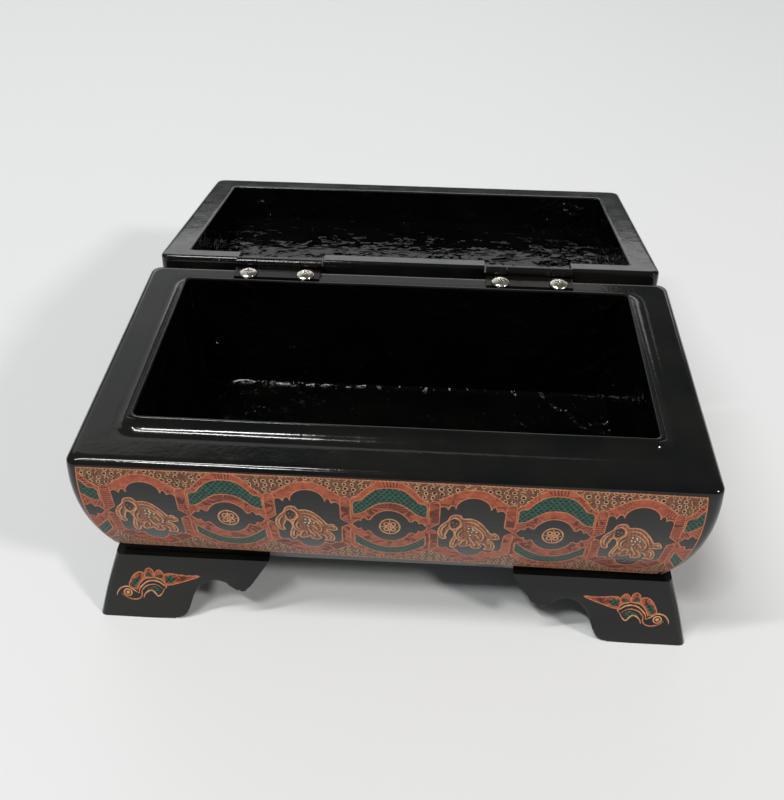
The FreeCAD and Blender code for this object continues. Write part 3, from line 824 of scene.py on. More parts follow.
class Drawing:
    """Flat closed shapes in paint order, each with its colour and the line it is hatched along."""

    def __init__(self, ground=()):
        self.shapes = []
        if ground:
            self.fill(ground, "diaper")

    def fill(self, points, colour, thread=None):
        self.shapes.append(([Vector(p) for p in points], colour, thread))

    def line(self, points, width, colour, closed=False, taper=False):
        """A cut line of some width, as short pieces that join end to end."""
        path = [Vector(p) for p in points]
        if closed:
            path.append(path[0])
        sides = []
        for k, p in enumerate(path):
            back, front = path[max(k - 1, 0)], path[min(k + 1, len(path) - 1)]
            if closed and k in (0, len(path) - 1):
                back, front = path[-2], path[1]
            way = front - back
            if way.length < TINY:
                way = Vector((1, 0))
            way.normalize()
            share = k / (len(path) - 1)
            half = width / 2 * (min(1.0, 0.25 + 3.5 * min(share, 1 - share)) if taper else 1.0)
            aside = Vector((-way.y, way.x)) * half
            sides.append((p + aside, p - aside))
        for (a, b), (c, d) in zip(sides, sides[1:]):
            for piece in ([a, b, c], [b, d, c]):
                if abs(area_of(piece)) > SLIVER:
                    self.shapes.append((piece, colour, None))

    def outlined(self, points, width, colour, edge):
        """A filled shape with a cut line all round it."""
        self.fill(points, colour)
        self.line(points, width, edge, closed=True)

    def moved(self, shapes, by):
        """Some finished shapes again, shifted sideways."""
        for points, colour, thread in shapes:
            place = [Vector((by + p.x, p.y)) for p in points]
            way = thread and [Vector((by + p.x, p.y)) for p in thread]
            self.shapes.append((place, colour, way))


print("drawing tools ready")

# %% [markdown]
# ### Two cells and their frames
# The band alternates two cells. One holds an elephant on a black ground with a domed,
# scalloped edge; the other a small ringed flower on a pointed black ground between two
# green arcs. Broad red ribbons frame both and cross at a pinch between the cells.

# %% Levels of the band
BAND_TOP, BAND_LOW, PINCH = 57.3, 23.0, 41.3
CELL_A, CELL_B = 10.45, 9.4
CUT = 0.34             # width of a cut outline
FAINT = CUT * 0.8


def ribbon_frame(cell, arch, keel, arch_thread, keel_thread):
    """The red field between an arch above and a keel below, cut in two at the pinch."""
    end = arch[-1][0]
    waist = [Vector((end, PINCH)), Vector((-end, PINCH))]
    cell.fill(arch + waist, "red", arch_thread)
    cell.fill(waist[::-1] + keel, "red", keel_thread)


def scallops(*runs):
    """Several short curves one after another, as the cusps of a scalloped edge."""
    return [p for run in runs for p in flowing(run)]


def elephant_ground():
    """The scalloped black field, from its left point over the dome and back below."""
    left = [(-10.2, 41.35), (-8.15, 43.2), (-8.2, 47.0)]
    left += oval(-7.0, 48.5, 1.15, 1.5, 180, 15, 8) + oval(-4.9, 49.2, 0.85, 1.3, 165, 5, 6)
    dome = oval(0.1, 49.5, 4.25, 3.8, 180, 0, 14)
    right = oval(5.0, 49.3, 0.75, 1.3, 170, 20, 6) + oval(6.75, 48.0, 1.2, 1.5, 140, 0, 8)
    right += [(7.95, 46.0), (8.0, 43.2), (10.2, 41.35), (8.1, 39.8), (8.0, 34.0)]
    lower = scallops([(7.9, 33.0), (7.2, 31.9), (6.2, 32.2)], [(6.0, 31.6), (4.8, 30.7), (3.5, 31.6)])
    lower += oval(0.1, 31.8, 3.1, 3.4, -8, -172, 14)
    lower += scallops([(-3.6, 31.9), (-4.9, 31.3), (-5.6, 32.5)])
    lower += scallops([(-5.9, 32.6), (-7.2, 32.2), (-8.1, 33.6)])
    return [Vector(p) for p in left + dome + right + lower + [(-8.25, 36.0), (-8.2, 39.7)]]


def elephant_cell():
    cell = Drawing()
    arch = flowing([
        (-10.5, 50.7), (-8.3, 51.5), (-6.1, 53.2), (-3.2, 55.1), (0.1, 55.7),
        (3.3, 55.0), (6.2, 53.0), (8.4, 51.3), (10.5, 50.7),
    ])
    arch_thread = flowing([
        (-13, 49.6), (-8.6, 50.4), (-6.0, 52.0), (-2.8, 54.2), (0.1, 54.7),
        (3, 54.1), (6, 51.8), (8.6, 50.4), (13, 49.6),
    ])
    keel = flowing(both_sides([(10.5, 31.0), (8.6, 29.6), (5.5, 27.0), (2.6, 25.5), (0, 25.1)]))
    keel_thread = flowing(both_sides([(13, 32.4), (8.6, 31.0), (5.2, 28.4), (0, 26.2)]))
    ribbon_frame(cell, arch, keel, arch_thread, keel_thread)
    cell.line(arch, CUT, "line")
    cell.line(keel, FAINT, "line")
    cell.outlined(elephant_ground(), CUT, "black", "line")
    return cell.shapes


# %% The flower cell
HEART = Vector((0, 41.0))              # middle of the flower


def ringed_flower(cell):
    """A ring round four petals, with four short spokes between them."""
    cell.line(oval(*HEART, 2.45, 3.1, steps=28), 0.42, "gold", closed=True)
    for turn in range(4):
        angle, axis = math.radians(45 + 90 * turn), math.radians(90 * turn)
        out = Vector((math.cos(angle) * 1.15, math.sin(angle) * 1.5))
        cell.fill(oval(*(HEART + out), 0.78, 0.95, steps=12), "gold")
        cell.fill(oval(*(HEART + out * 1.05), 0.36, 0.48, steps=8), "black")
        tip = Vector((math.cos(axis) * 2.1, math.sin(axis) * 2.7))
        cell.line([HEART + tip * 0.35, HEART + tip], 0.28, "gold")
    cell.fill(oval(*HEART, 0.42, 0.5, steps=8), "gold")


def flower_ground():
    """The pointed black field, with two cusps on each side of a ball."""
    crest = scallops([(-8.7, 42.2), (-7.9, 43.2), (-7.1, 42.9)], [(-7.0, 43.6), (-6.2, 44.3), (-5.4, 43.5)])
    belly = scallops([(-8.6, 40.3), (-7.8, 39.5), (-7.0, 39.8)], [(-6.9, 38.9), (-6.1, 38.2), (-5.3, 38.8)])
    crest.insert(0, Vector((-9.3, 41.4)))
    ball_top = oval(0.0, 41.1, 5.2, 6.4, 158, 22, 16)
    ball_low = oval(0.0, 41.1, 5.2, 6.6, -22, -158, 16)
    return crest + ball_top + flipped(crest) + flipped(belly[::-1]) + ball_low + belly[::-1]


def flower_cell():
    cell = Drawing()
    arch = flowing(both_sides([(-9.5, 50.7), (-7.7, 52.0), (-5.4, 54.9), (-2.8, 56.8), (0, 57.3)]))
    arch_thread = flowing(both_sides([(-12, 49.4), (-8.0, 51.3), (-5.3, 53.9), (-2.7, 55.8), (0, 56.3)]))
    keel = flowing(both_sides([(9.5, 31.0), (7.4, 28.4), (4.2, 25.9), (0, 25.0)]))
    above_ball = flowing(both_sides([(-12, 42.4), (-9.3, 43.6), (-5.8, 45.9), (-3.2, 48.0), (0, 48.9)]))
    below_ball = flowing(both_sides([(-12, 40.6), (-9.3, 38.8), (-5.4, 35.4), (0, 32.5)]))
    ribbon_frame(cell, arch, keel, arch_thread, keel)
    cell.fill([(-9.5, 45.4), (9.5, 45.4), (9.5, 41.3), (-9.5, 41.3)], "red", above_ball)
    cell.fill([(-5.6, 50.2), (5.6, 50.2), (5.6, 45.0), (-5.6, 45.0)], "red", above_ball)
    cell.fill([(-9.5, 41.3), (9.5, 41.3), (6.5, 33.4), (0, 30.9), (-6.5, 33.4)], "red", below_ball)
    cell.line(arch, CUT, "line")
    cell.line(keel, FAINT, "line")
    over = [(-9.0, 49.6), (-8.0, 50.4), (-6.9, 50.6), (-5.4, 52.6), (-3.0, 54.6), (0, 55.1)]
    under = [(9.0, 45.3), (6.8, 46.1), (4.9, 47.9), (2.6, 49.7), (0, 50.2)]
    low_over = [(-8.8, 37.4), (-5.6, 33.8), (-2.8, 31.7), (0, 31.1)]
    low_under = [(8.8, 32.8), (5.4, 29.2), (2.6, 27.7), (0, 27.3)]
    for upper, lower in ((over, under), (low_over, low_under)):
        arc = flowing(both_sides(upper)) + flowing(both_sides(lower))
        cell.outlined(arc, CUT, "green", "line")
    cell.outlined(flower_ground(), CUT, "black", "line")
    ringed_flower(cell)
    return cell.shapes


# %% [markdown]
# ### The elephant
# A plain folk-art elephant walks to the left in each of the larger cells. Its body is
# one filled outline; curls for the ear, trunk and legs are cut over it in a paler tone
# with dark gaps between them, and a few pale dots run along its back.

# %% Draw the elephant
SILHOUETTE = [
    (-5.8, 44.9), (-5.3, 46.4), (-4.2, 47.1), (-3.0, 46.9), (-2.3, 45.8), (-0.7, 45.9),
    (0.9, 45.4), (2.4, 43.9), (3.6, 42.1), (4.7, 40.3), (5.7, 40.6), (6.4, 39.8),
    (6.9, 38.4), (5.8, 37.9), (4.7, 38.1), (4.2, 37.3), (5.0, 37.1), (5.8, 35.5),
    (6.0, 33.8), (5.5, 32.5), (4.7, 32.8), (3.6, 32.6), (4.1, 33.9), (3.6, 35.0),
    (2.8, 35.6), (2.2, 34.9), (2.8, 34.1), (2.0, 33.0), (0.5, 33.3), (0.1, 34.8),
    (-0.7, 34.0), (-2.3, 33.6), (-2.7, 34.9), (-3.4, 34.2), (-3.6, 33.3), (-4.4, 32.6),
    (-4.9, 34.1), (-4.7, 36.3), (-4.1, 38.5), (-4.2, 40.3), (-4.8, 41.3), (-5.6, 41.5),
    (-6.1, 39.8), (-6.4, 38.5), (-6.1, 37.4), (-6.9, 37.0), (-7.8, 38.2), (-8.1, 40.1),
    (-7.8, 41.9), (-7.0, 43.4),
]
CURLS = [
    [(-6.1, 43.4), (-7.1, 41.6), (-7.3, 39.7), (-6.9, 38.1)],
    [(-1.7, 44.5), (-0.5, 44.6), (1.0, 44.0), (2.3, 42.4), (3.2, 40.9), (3.8, 39.3)],
    [(-1.3, 43.2), (0.1, 43.0), (1.4, 42.0), (2.5, 40.7), (3.1, 38.9), (2.8, 37.1), (2.0, 36.7)],
    [(-2.3, 43.0), (-3.4, 41.6), (-3.9, 39.6), (-3.4, 37.6), (-2.3, 36.7), (-1.3, 37.6)],
    [(-2.4, 41.0), (-3.1, 39.7), (-2.9, 38.2), (-2.1, 37.7)],
    [(-3.7, 37.4), (-4.1, 35.6), (-4.1, 33.8)],
    [(-2.4, 34.6), (-2.1, 36.0), (-1.3, 36.9), (-0.7, 36.3), (-0.8, 34.9)],
    [(-0.3, 38.5), (0.3, 36.6), (1.2, 35.0), (0.9, 33.9)],
    [(1.2, 36.8), (2.0, 35.8), (2.6, 35.0)],
    [(0.7, 39.8), (1.6, 38.9), (2.2, 37.7)],
    [(3.8, 36.5), (4.9, 36.1), (5.3, 34.7), (5.1, 33.4)],
    [(4.7, 39.3), (5.7, 39.7), (6.3, 38.9)],
]
EAR = [(-5.2, 44.9), (-4.2, 45.6), (-3.2, 44.6), (-3.5, 42.8), (-4.5, 42.0), (-5.2, 43.0)]
EAR_RIM = [
    (-5.5, 43.6), (-5.4, 42.1), (-4.5, 41.4), (-3.2, 42.3), (-2.6, 43.8), (-3.2, 45.3), (-4.3, 46.0),
    (-5.3, 45.2),
]
SPOTS = [(-0.7, 42.1), (0.3, 42.0), (-0.8, 40.8), (0.1, 40.6), (-0.2, 39.3), (0.5, 41.4), (1.3, 40.8)]


def elephant():
    work = Drawing()
    body = flowing(SILHOUETTE, closed=True, steps=3)
    work.line(body, 0.8, "black", closed=True)
    work.fill(body, "ochre")
    work.line(body, 0.4, "gold", closed=True)
    work.fill(flowing(EAR, closed=True, steps=4), "black")
    work.line(flowing(EAR_RIM), 0.42, "gold", taper=True)
    for x, z in ((-4.7, 44.2), (-3.8, 43.9), (-4.3, 42.9)):
        work.fill(oval(x, z, 0.28, 0.3, steps=8), "ochre")
    for curl in CURLS:
        work.line(flowing([(x + 0.36, z - 0.24) for x, z in curl], steps=4), 0.4, "black", taper=True)
        work.line(flowing(curl, steps=4), 0.42, "gold", taper=True)
    for x, z in SPOTS:
        work.fill(oval(x + 0.1, z - 0.12, 0.4, 0.42, steps=8), "black")
        work.fill(oval(x, z, 0.27, 0.3, steps=8), "pale")
    return work.shapes


ELEPHANT = elephant()
print("elephant:", len(ELEPHANT), "shapes")


# %% Lay the cells out
FLAT_LONG, FLAT_SHORT = 75.0, 38.0     # half lengths of the two flat sheets
BORDER = 0.6


def posts():
    """The upright pieces of ribbon beside an elephant, above and below the pinch."""
    upper = [(7.9, 49.0)] + oval(9.15, 50.2, 1.25, 1.3, 170, 10, 8)
    upper += [(10.45, 48.0), (10.4, 43.0), (7.9, 43.4)]
    lower = [(7.9, 32.5), (8.0, 38.6)] + oval(9.3, 39.4, 1.0, 1.1, 160, 0, 7)
    return upper, lower + [(10.0, 37.0), (10.0, 31.4), (9.3, 30.9)]


def band(half_length, order):
    """The flat drawing of one wall. Cells alternate outwards from the middle one."""
    left_low, right_low = (-half_length, BAND_LOW), (half_length, BAND_LOW)
    left_top, right_top = (-half_length, BAND_TOP), (half_length, BAND_TOP)
    sheet = Drawing([left_low, right_low, right_top, left_top])
    places = [(0.0, order[0])]
    step = 0.0
    for k in range(1, 6):
        step += CELL_A + CELL_B
        places += [(-step, order[k % 2]), (step, order[k % 2])]
    places = [(x, kind) for x, kind in places if abs(x) - CELL_A < half_length]
    for x, kind in places:
        if kind == "flower":
            sheet.moved(flower_cell(), x)
    for x, kind in places:
        if kind == "elephant":
            sheet.moved(elephant_cell(), x)
            for side in (-1, 1):
                upright = [(x + side * 9.2, 30), (x + side * 9.2, 53)]
                for shape in posts():
                    place = [Vector((x + side * q[0], q[1])) for q in shape]
                    sheet.fill(place, "red", [Vector(q) for q in upright])
                    sheet.line(place, FAINT, "line", closed=True)
            sheet.moved(ELEPHANT, x + 0.1 * math.sin(x))
    sheet.line([left_low, left_top], BORDER, "line")
    sheet.line([right_low, right_top], BORDER, "line")
    sheet.line([left_top, right_top], BORDER + 0.05, "line")
    sheet.line([left_low, right_low], BORDER, "line")
    return sheet


long_band = band(FLAT_LONG, ("flower", "elephant"))
short_band = band(FLAT_SHORT, ("elephant", "flower"))
print("long band:", len(long_band.shapes), "shapes; short band:", len(short_band.shapes))

# %% [markdown]
# ### From a stack of shapes to one sheet
# The triangulation returns, for every small triangle, the list of shapes that it lies
# in. The highest number in that list is the last shape painted there. Guide lines ruled
# across the sheet keep every triangle short enough to bend with the wall. A hatched
# shape also stores how far each corner lies along and across its ribbon, so that the
# cuts can run squarely across the ribbon wherever it turns.


# %% Flatten the stack
FLOODED = 1.5          # a shape that owns this many times its own area has gone wrong


def flatten(sheet, rule_x=5.0, rule_z=2.4, bare=False):
    """Points, triangles and each triangle's topmost shape; bare leaves the ground out."""
    base = sheet.shapes[0][0]
    low_x, high_x = min(p.x for p in base), max(p.x for p in base)
    low_z, high_z = min(p.y for p in base), max(p.y for p in base)
    spots, faces, edges = [], [], []
    for points, _, _ in sheet.shapes:
        first = len(spots)
        spots += points if area_of(points) > 0 else points[::-1]
        faces.append(list(range(first, first + len(points))))
    columns = 2 * math.ceil((high_x - low_x) / rule_x / 2)
    for k in range(1, columns):
        x = low_x + (high_x - low_x) * k / columns
        edges.append((len(spots), len(spots) + 1))
        spots += [Vector((x, low_z)), Vector((x, high_z))]
    rows = math.ceil((high_z - low_z) / rule_z)
    for k in range(1, rows):
        z = low_z + (high_z - low_z) * k / rows
        edges.append((len(spots), len(spots) + 1))
        spots += [Vector((low_x, z)), Vector((high_x, z))]
    points, _, triangles, _, _, owners = geometry.delaunay_2d_cdt(spots, edges, faces, 1, 1e-4, True)
    owned = [0.0] * len(sheet.shapes)
    for triangle, owner in zip(triangles, owners):
        size = abs(area_of([points[k] for k in triangle]))
        for k in owner:
            owned[k] += size
    sizes = [abs(area_of(points_of)) for points_of, _, _ in sheet.shapes]
    lost = {k for k, size in enumerate(sizes) if owned[k] > FLOODED * size + 0.05}
    kept, top = [], []
    for triangle, owner in zip(triangles, owners):
        painted = [k for k in owner if k not in lost]
        if 0 in owner and (max(painted) > 0 or not bare):
            kept.append(triangle)
            top.append(max(painted))
    print("flat sheet:", len(kept), "triangles;", len(lost), "slivers left out")
    return points, kept, top


def along_thread(p, thread):
    """How far a point lies along a line and to the side of it."""
    best = (math.inf, 0.0, 0.0)
    gone = 0.0
    for a, b in zip(thread, thread[1:]):
        run = b - a
        length = run.length
        if length < TINY:
            continue
        t = max(0.0, min(1.0, (p - a).dot(run) / length ** 2))
        off = p - (a + run * t)
        if off.length < best[0] - TINY:
            side = math.copysign(off.length, run.x * off.y - run.y * off.x)
            best = (off.length, gone + length * t, side)
        gone += length
    return best[1], best[2]


# %% Bend a sheet on to the wood
COLOURS = ("black", "red", "green", "diaper", "line", "gold", "ochre", "pale")
PROUD, ROOT = 0.05, -0.15              # how far the sheet stands out and reaches in
MARGIN, ROW = 0.005, 0.475             # empty edge and height of a row on the chart
ROOT_ROW, ROOT_HIGH = 0.987, 0.008
colour_fills = []


def closed_sheet(points, triangles):
    """Give a flat sheet a root and a rim: its points, its faces and how many of each are outer."""
    used = sorted({k for t in triangles for k in t})
    order = {k: n for n, k in enumerate(used)}
    flat_points = [points[k] for k in used]
    faces = [[order[k] for k in t] for t in triangles]
    outer, count = len(faces), len(used)
    ways = {(a, b) for t in faces for a, b in zip(t, t[1:] + t[:1])}
    follow = {a: b for a, b in ways if (b, a) not in ways}
    rim = list(follow.items())
    loop = [rim[0][0]]
    while follow.get(loop[-1]) != loop[0]:
        loop.append(follow[loop[-1]])
    if len(loop) == len(rim):
        under, root, _ = flatten(Drawing([flat_points[k] for k in loop]))
        tree = kdtree.KDTree(len(under))
        for n, p in enumerate(under):
            tree.insert((*p, 0), n)
        tree.balance()
        partner = {k: count + tree.find((*flat_points[k], 0))[1] for k in loop}
        flat_points = flat_points + list(under)
        faces += [[count + k for k in reversed(t)] for t in root]
    else:
        partner = {k: count + k for k in range(count)}
        flat_points = flat_points * 2
        faces += [[k + count for k in reversed(t)] for t in faces[:outer]]
    faces += [list(dict.fromkeys([b, a, partner[a], partner[b]])) for a, b in rim]
    return flat_points, faces, outer, count


def chart_place(p, low, high, right_half, outer):
    """Where a point lies on the chart: two rows for the halves, a strip on top for the root."""
    start = (low.x + high.x) / 2 if right_half else low.x
    u = (p.x - start) / (high.x - low.x) * 2
    v = (p.y - low.y) / (high.y - low.y)
    if outer:
        return MARGIN + (1 - 2 * MARGIN) * u, MARGIN + ROW * v + (0.5 if right_half else 0)
    return MARGIN + (1 - 2 * MARGIN) * u, ROOT_ROW + ROOT_HIGH * v


def skin(name, sheet, flat, place):
    """One closed sheet: the drawing just proud of the wood and its root inside it."""
    points, triangles, top = flat
    flat_points, faces, outer, count = closed_sheet(points, triangles)
    corners = [place(p.x, p.y, PROUD if k < count else ROOT) for k, p in enumerate(flat_points)]
    mesh = plain_mesh(name, corners, faces)
    low = Vector((min(p.x for p in flat_points), min(p.y for p in flat_points)))
    high = Vector((max(p.x for p in flat_points), max(p.y for p in flat_points)))
    chart = mesh.uv_layers.new(name="OFBake")
    cut = mesh.attributes.new("cut", "FLOAT_VECTOR", "CORNER")
    lay = mesh.attributes.new("lay", "FLOAT_VECTOR", "CORNER")
    for number, face in enumerate(mesh.polygons):
        shape = sheet.shapes[top[number]] if number < outer else sheet.shapes[0]
        face.material_index = COLOURS.index(shape[1])
        centre_x = sum(flat_points[v].x for v in face.vertices) / len(face.vertices)
        right_half = centre_x > (low.x + high.x) / 2
        for loop in face.loop_indices:
            p = flat_points[mesh.loops[loop].vertex_index]
            chart.data[loop].uv = chart_place(p, low, high, right_half, number < outer)
            lay.data[loop].vector = (p.x, p.y, 0)
            if shape[2]:
                cut.data[loop].vector = (*along_thread(p, shape[2]), 0)
    face_outwards(mesh)
    piece = in_scene(name, mesh)
    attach(piece, "base")
    colour_fills.append(piece)
    print(name, len(mesh.polygons), "faces")


FITTED = 9.0           # only this much of each end is stretched to reach the corner
SLANT, HOLLOW = 0.026, 0.5             # slant of the low edge and dip of the top edge


def hand_ruled(x, share, drift):
    """How far a hand-ruled sheet has slipped down at a place; share is 0 below, 1 above."""
    return drift * (SLANT * x * (1 - share) + HOLLOW * ((x + 30) / 100) ** 2 * share)


def wall_place(half_length, stand, flat_half, quarter_turns, drift=0.0):
    """Where a place on the flat sheet lies on one of the barrel-shaped walls."""
    turn = Matrix.Rotation(math.radians(90 * quarter_turns), 3, "Z")

    def place(x, z, lift):
        share = (z - BAND_LOW) / (BAND_TOP - BAND_LOW)
        z -= hand_ruled(x, share, drift)
        reach = wall_reach(z)
        edge = half_length - reach - (1.6 + 1.15 * share) - (1.3 * drift * share if x > 0 else 0.0)
        plain = flat_half - FITTED
        if abs(x) > plain:
            x = math.copysign(plain + (abs(x) - plain) * (edge - plain) / FITTED, x)
        past = abs(x) - (half_length - reach - CORNER)
        round_off = CORNER - math.sqrt(CORNER ** 2 - past ** 2) if past > 0 else 0.0
        p = turn @ Vector((x, -stand + reach + round_off, z))
        out = turn @ Vector((0, -1, 0))
        if past > 0:
            out = turn @ Vector((math.copysign(past, x), -(CORNER - round_off), 0)).normalized()
        return p + slow_wave(p) + out * lift

    return place


flat_long, flat_short = flatten(long_band), flatten(short_band)
long_wall, short_wall = (HALF_WIDTH, HALF_DEPTH, FLAT_LONG), (HALF_DEPTH, HALF_WIDTH, FLAT_SHORT)
skin("carved_front_band", long_band, flat_long, wall_place(*long_wall, 0, drift=1.0))
skin("carved_back_band", long_band, flat_long, wall_place(*long_wall, 2))
skin("carved_right_band", short_band, flat_short, wall_place(*short_wall, 1))
skin("carved_left_band", short_band, flat_short, wall_place(*short_wall, 3))

# %% [markdown]
# ### A crested scroll on each front foot
# Each front foot carries one small scroll: a round eye in a hook, three nested arcs, a
# crest of three lobes and a leaf that points to the middle of the box. Only the cut and
# filled parts are laid on; the black between them is the foot itself.

# %% Draw the scroll
scroll = Drawing([(0.6, 4.4), (25.6, 4.4), (25.6, 17.2), (0.6, 17.2)])
lobes = [
    [
        (5.2, 9.8), (5.5, 11.5), (6.5, 13.3), (7.8, 14.4), (8.9, 14.5), (9.6, 14.0),
        (9.3, 12.7), (8.1, 11.3),
        (7.3, 9.4),
    ],
    [(9.8, 12.9), (9.7, 14.3), (10.3, 15.5), (11.2, 15.8), (12.0, 15.1), (12.2, 14.1), (11.8, 13.0)],
    [(12.4, 13.0), (12.7, 14.6), (13.6, 15.4), (14.5, 14.8), (15.0, 13.9), (14.6, 12.7)],
    [
        (15.0, 11.9), (14.9, 13.3), (15.6, 14.3), (17.3, 14.4), (19.7, 14.1), (22.0, 14.0), (24.7, 14.1),
        (22.0, 12.9), (19.2, 11.9), (17.0, 11.1), (15.3, 11.0),
    ],
]
hearts = [
    [(5.8, 10.2), (6.1, 11.7), (7.3, 12.8), (8.5, 13.0), (8.0, 11.7), (7.1, 10.4), (6.5, 9.6)],
    oval(10.8, 13.8, 0.75, 0.65, steps=10),
    oval(13.8, 13.5, 0.75, 0.6, steps=10),
    [(15.3, 12.1), (15.6, 13.3), (16.6, 13.8), (18.2, 12.9), (17.0, 11.8), (15.7, 11.6)],
]
for lobe, heart in zip(lobes, hearts):
    outline = flowing(lobe, closed=True, steps=3)
    scroll.fill(outline, "red", flowing(lobe[1:-1]))
    scroll.line(outline, 0.3, "line", closed=True)
    scroll.fill(flowing(heart, closed=True, steps=3), "green")
belly = [
    (9.3, 8.3), (10.6, 9.7), (12.3, 10.2), (13.8, 9.4), (13.1, 8.3), (12.5, 8.3), (11.6, 9.2), (10.3, 8.9),
]
scroll.fill(flowing(belly, closed=True, steps=3), "green")
hook = [(1.4, 6.8), (1.8, 8.1), (2.9, 9.4), (4.4, 9.85), (5.4, 9.6), (6.4, 8.75), (7.7, 7.9)]
throat = [
    (2.9, 7.6), (3.7, 6.75), (4.9, 6.15), (6.4, 5.9), (7.75, 6.4), (8.4, 7.4), (8.5, 8.75), (9.8, 10.3),
    (11.4, 10.85), (12.8, 10.8), (14.3, 9.75),
]
small_arc = [
    (8.75, 6.4), (9.25, 7.75), (10.3, 8.75), (11.3, 9.0), (12.1, 8.25), (12.9, 7.3),
    (13.95, 8.1), (14.8, 9.75),
]
large_arc = [
    (7.7, 7.9), (7.9, 9.25), (8.9, 10.6), (10.4, 11.8), (12.1, 12.1), (13.6, 11.7),
    (14.8, 10.8), (15.4, 10.4),
    (15.0, 9.7),
]
crest = [
    (7.2, 8.8), (7.9, 10.6), (9.3, 12.3), (10.8, 12.95), (12.45, 13.0), (13.9, 12.6), (15.1, 11.4),
    (15.6, 10.6),
]
tones = {"gold": 0.38, "line": 0.32}   # colours of the strokes and their widths
tone_of = [(hook, "gold"), (throat, "line"), (small_arc, "gold"), (large_arc, "gold"), (crest, "line")]
for stroke, tone in tone_of:
    scroll.line(flowing(stroke), tones[tone], tone, taper=True)
scroll.fill(oval(4.6, 8.0, 0.5, 0.52, steps=12), "gold")
scroll.line(oval(4.6, 8.0, 1.05, 1.05, steps=20), 0.36, "gold", closed=True)


def foot_place(x_way):
    """Where a place on the flat scroll lies on the left (1) or right (-1) front foot."""
    outwards = Vector((0, -1, -0.3)).normalized()

    def place(along, z, lift):
        on_wood = waved_foot(Vector((x_way * (along - HALF_WIDTH), lean(z) - HALF_DEPTH, z)))
        return on_wood + outwards * lift

    return place


flat_scroll = flatten(scroll, rule_x=2.5, rule_z=1.6, bare=True)
skin("carved_left_foot_scroll", scroll, flat_scroll, foot_place(1))
skin("carved_right_foot_scroll", scroll, flat_scroll, foot_place(-1))

# %% [markdown]
# ## Finishes
# The materials are wired from a few shared groups, one for each thing that happened to
# the real surface: the coats and their waves, the point that cut the hatching, the small
# scales and rings, wear on edges, dust. A group only gives masks, colours and heights;
# each material decides what to do with them.


# %% A short way to wire nodes
class Wiring:
    def __init__(self, tree):
        self.tree = tree

    def add(self, kind, inputs=None, **settings):
        node = self.tree.nodes.new(kind)
        for key, value in settings.items():
            setattr(node, key, value)
        for key, value in (inputs or {}).items():
            if isinstance(value, bpy.types.NodeSocket):
                self.tree.links.new(value, node.inputs[key])
            else:
                node.inputs[key].default_value = value
        return node

    def sum(self, operation, a, b=0.0):
        return self.add("ShaderNodeMath", {0: a, 1: b}, operation=operation).outputs[0]

    def plus(self, a, b):
        return self.sum("ADD", a, b)

    def minus(self, a, b):
        return self.sum("SUBTRACT", a, b)

    def times(self, a, b):
        return self.sum("MULTIPLY", a, b)

    def over(self, a, b):
        return self.sum("DIVIDE", a, b)

    def blend(self, share, a, b):
        node = self.add("ShaderNodeMix", {0: share, 6: a, 7: b}, data_type="RGBA")
        return node.outputs[2]

    def between(self, value, low, high):
        """0 below low, 1 above high, smooth in between."""
        limits = {0: value, 1: low, 2: high}
        return self.add("ShaderNodeMapRange", limits, interpolation_type="SMOOTHSTEP").outputs[0]

    def grain(self, place, scale, detail=3.0):
        inputs = {"Vector": place, "Scale": scale, "Detail": detail}
        return self.add("ShaderNodeTexNoise", inputs).outputs[0]

    def vector(self, operation, a, b):
        return self.add("ShaderNodeVectorMath", {0: a, 1: b}, operation=operation).outputs[0]

    def parts(self, vector):
        return self.add("ShaderNodeSeparateXYZ", {0: vector}).outputs


def group(name, inputs, outputs):
    """A new node group with named sockets; defaults are given with the inputs."""
    tree = bpy.data.node_groups.new(name, "ShaderNodeTree")
    for title, default in inputs.items():
        kind = "Vector" if default is None else "Color" if isinstance(default, tuple) else "Float"
        socket = tree.interface.new_socket(name=title, in_out="INPUT", socket_type="NodeSocket" + kind)
        if default is not None:
            socket.default_value = default
    for title, kind in outputs.items():
        tree.interface.new_socket(name=title, in_out="OUTPUT", socket_type="NodeSocket" + kind)
    wires = Wiring(tree)
    return tree, wires, wires.add("NodeGroupInput").outputs, wires.add("NodeGroupOutput").inputs


def join(wires, value, socket):
    wires.tree.links.new(value, socket)


print("wiring ready")

# %% [markdown]
# ### Coats of lacquer
# Black lacquer is not one black. The coats are a shade browner where they lie thin and
# bluer where they lie thick, and polish takes unevenly, so the shine drifts from place
# to place. A slow noise gives the drift and a quick one the faint orange-peel.

# %% Lacquer group
lacquer_coats, w, given, made = group(
    "lacquer_coats",
    {
        "Place": None,
        "Thin Colour": (0.008, 0.0075, 0.0065, 1),
        "Thick Colour": (0.0035, 0.004, 0.004, 1),
        "Polish": 0.12,
        "Uneven": 0.10,
    },
    {"Color": "Color", "Roughness": "Float", "Height": "Float"},
)
patchy = w.between(w.grain(given["Place"], 45.0, 3.0), 0.35, 0.65)
peel = w.grain(given["Place"], 900.0, 2.0)
slow = w.grain(given["Place"], 150.0, 2.0)
join(w, w.blend(patchy, given["Thin Colour"], given["Thick Colour"]), made["Color"])
rubbed = w.times(given["Uneven"], w.between(slow, 0.35, 0.75))
join(w, w.plus(given["Polish"], rubbed), made["Roughness"])
join(w, w.plus(w.times(peel, 0.35), slow), made["Height"])

# %% [markdown]
# ### Dust and wear
# Dust settles on what faces up and stays where no cloth reaches. Edges and corners of
# painted steel are rubbed back to bare metal; they are found from how sharply the
# surface bends.

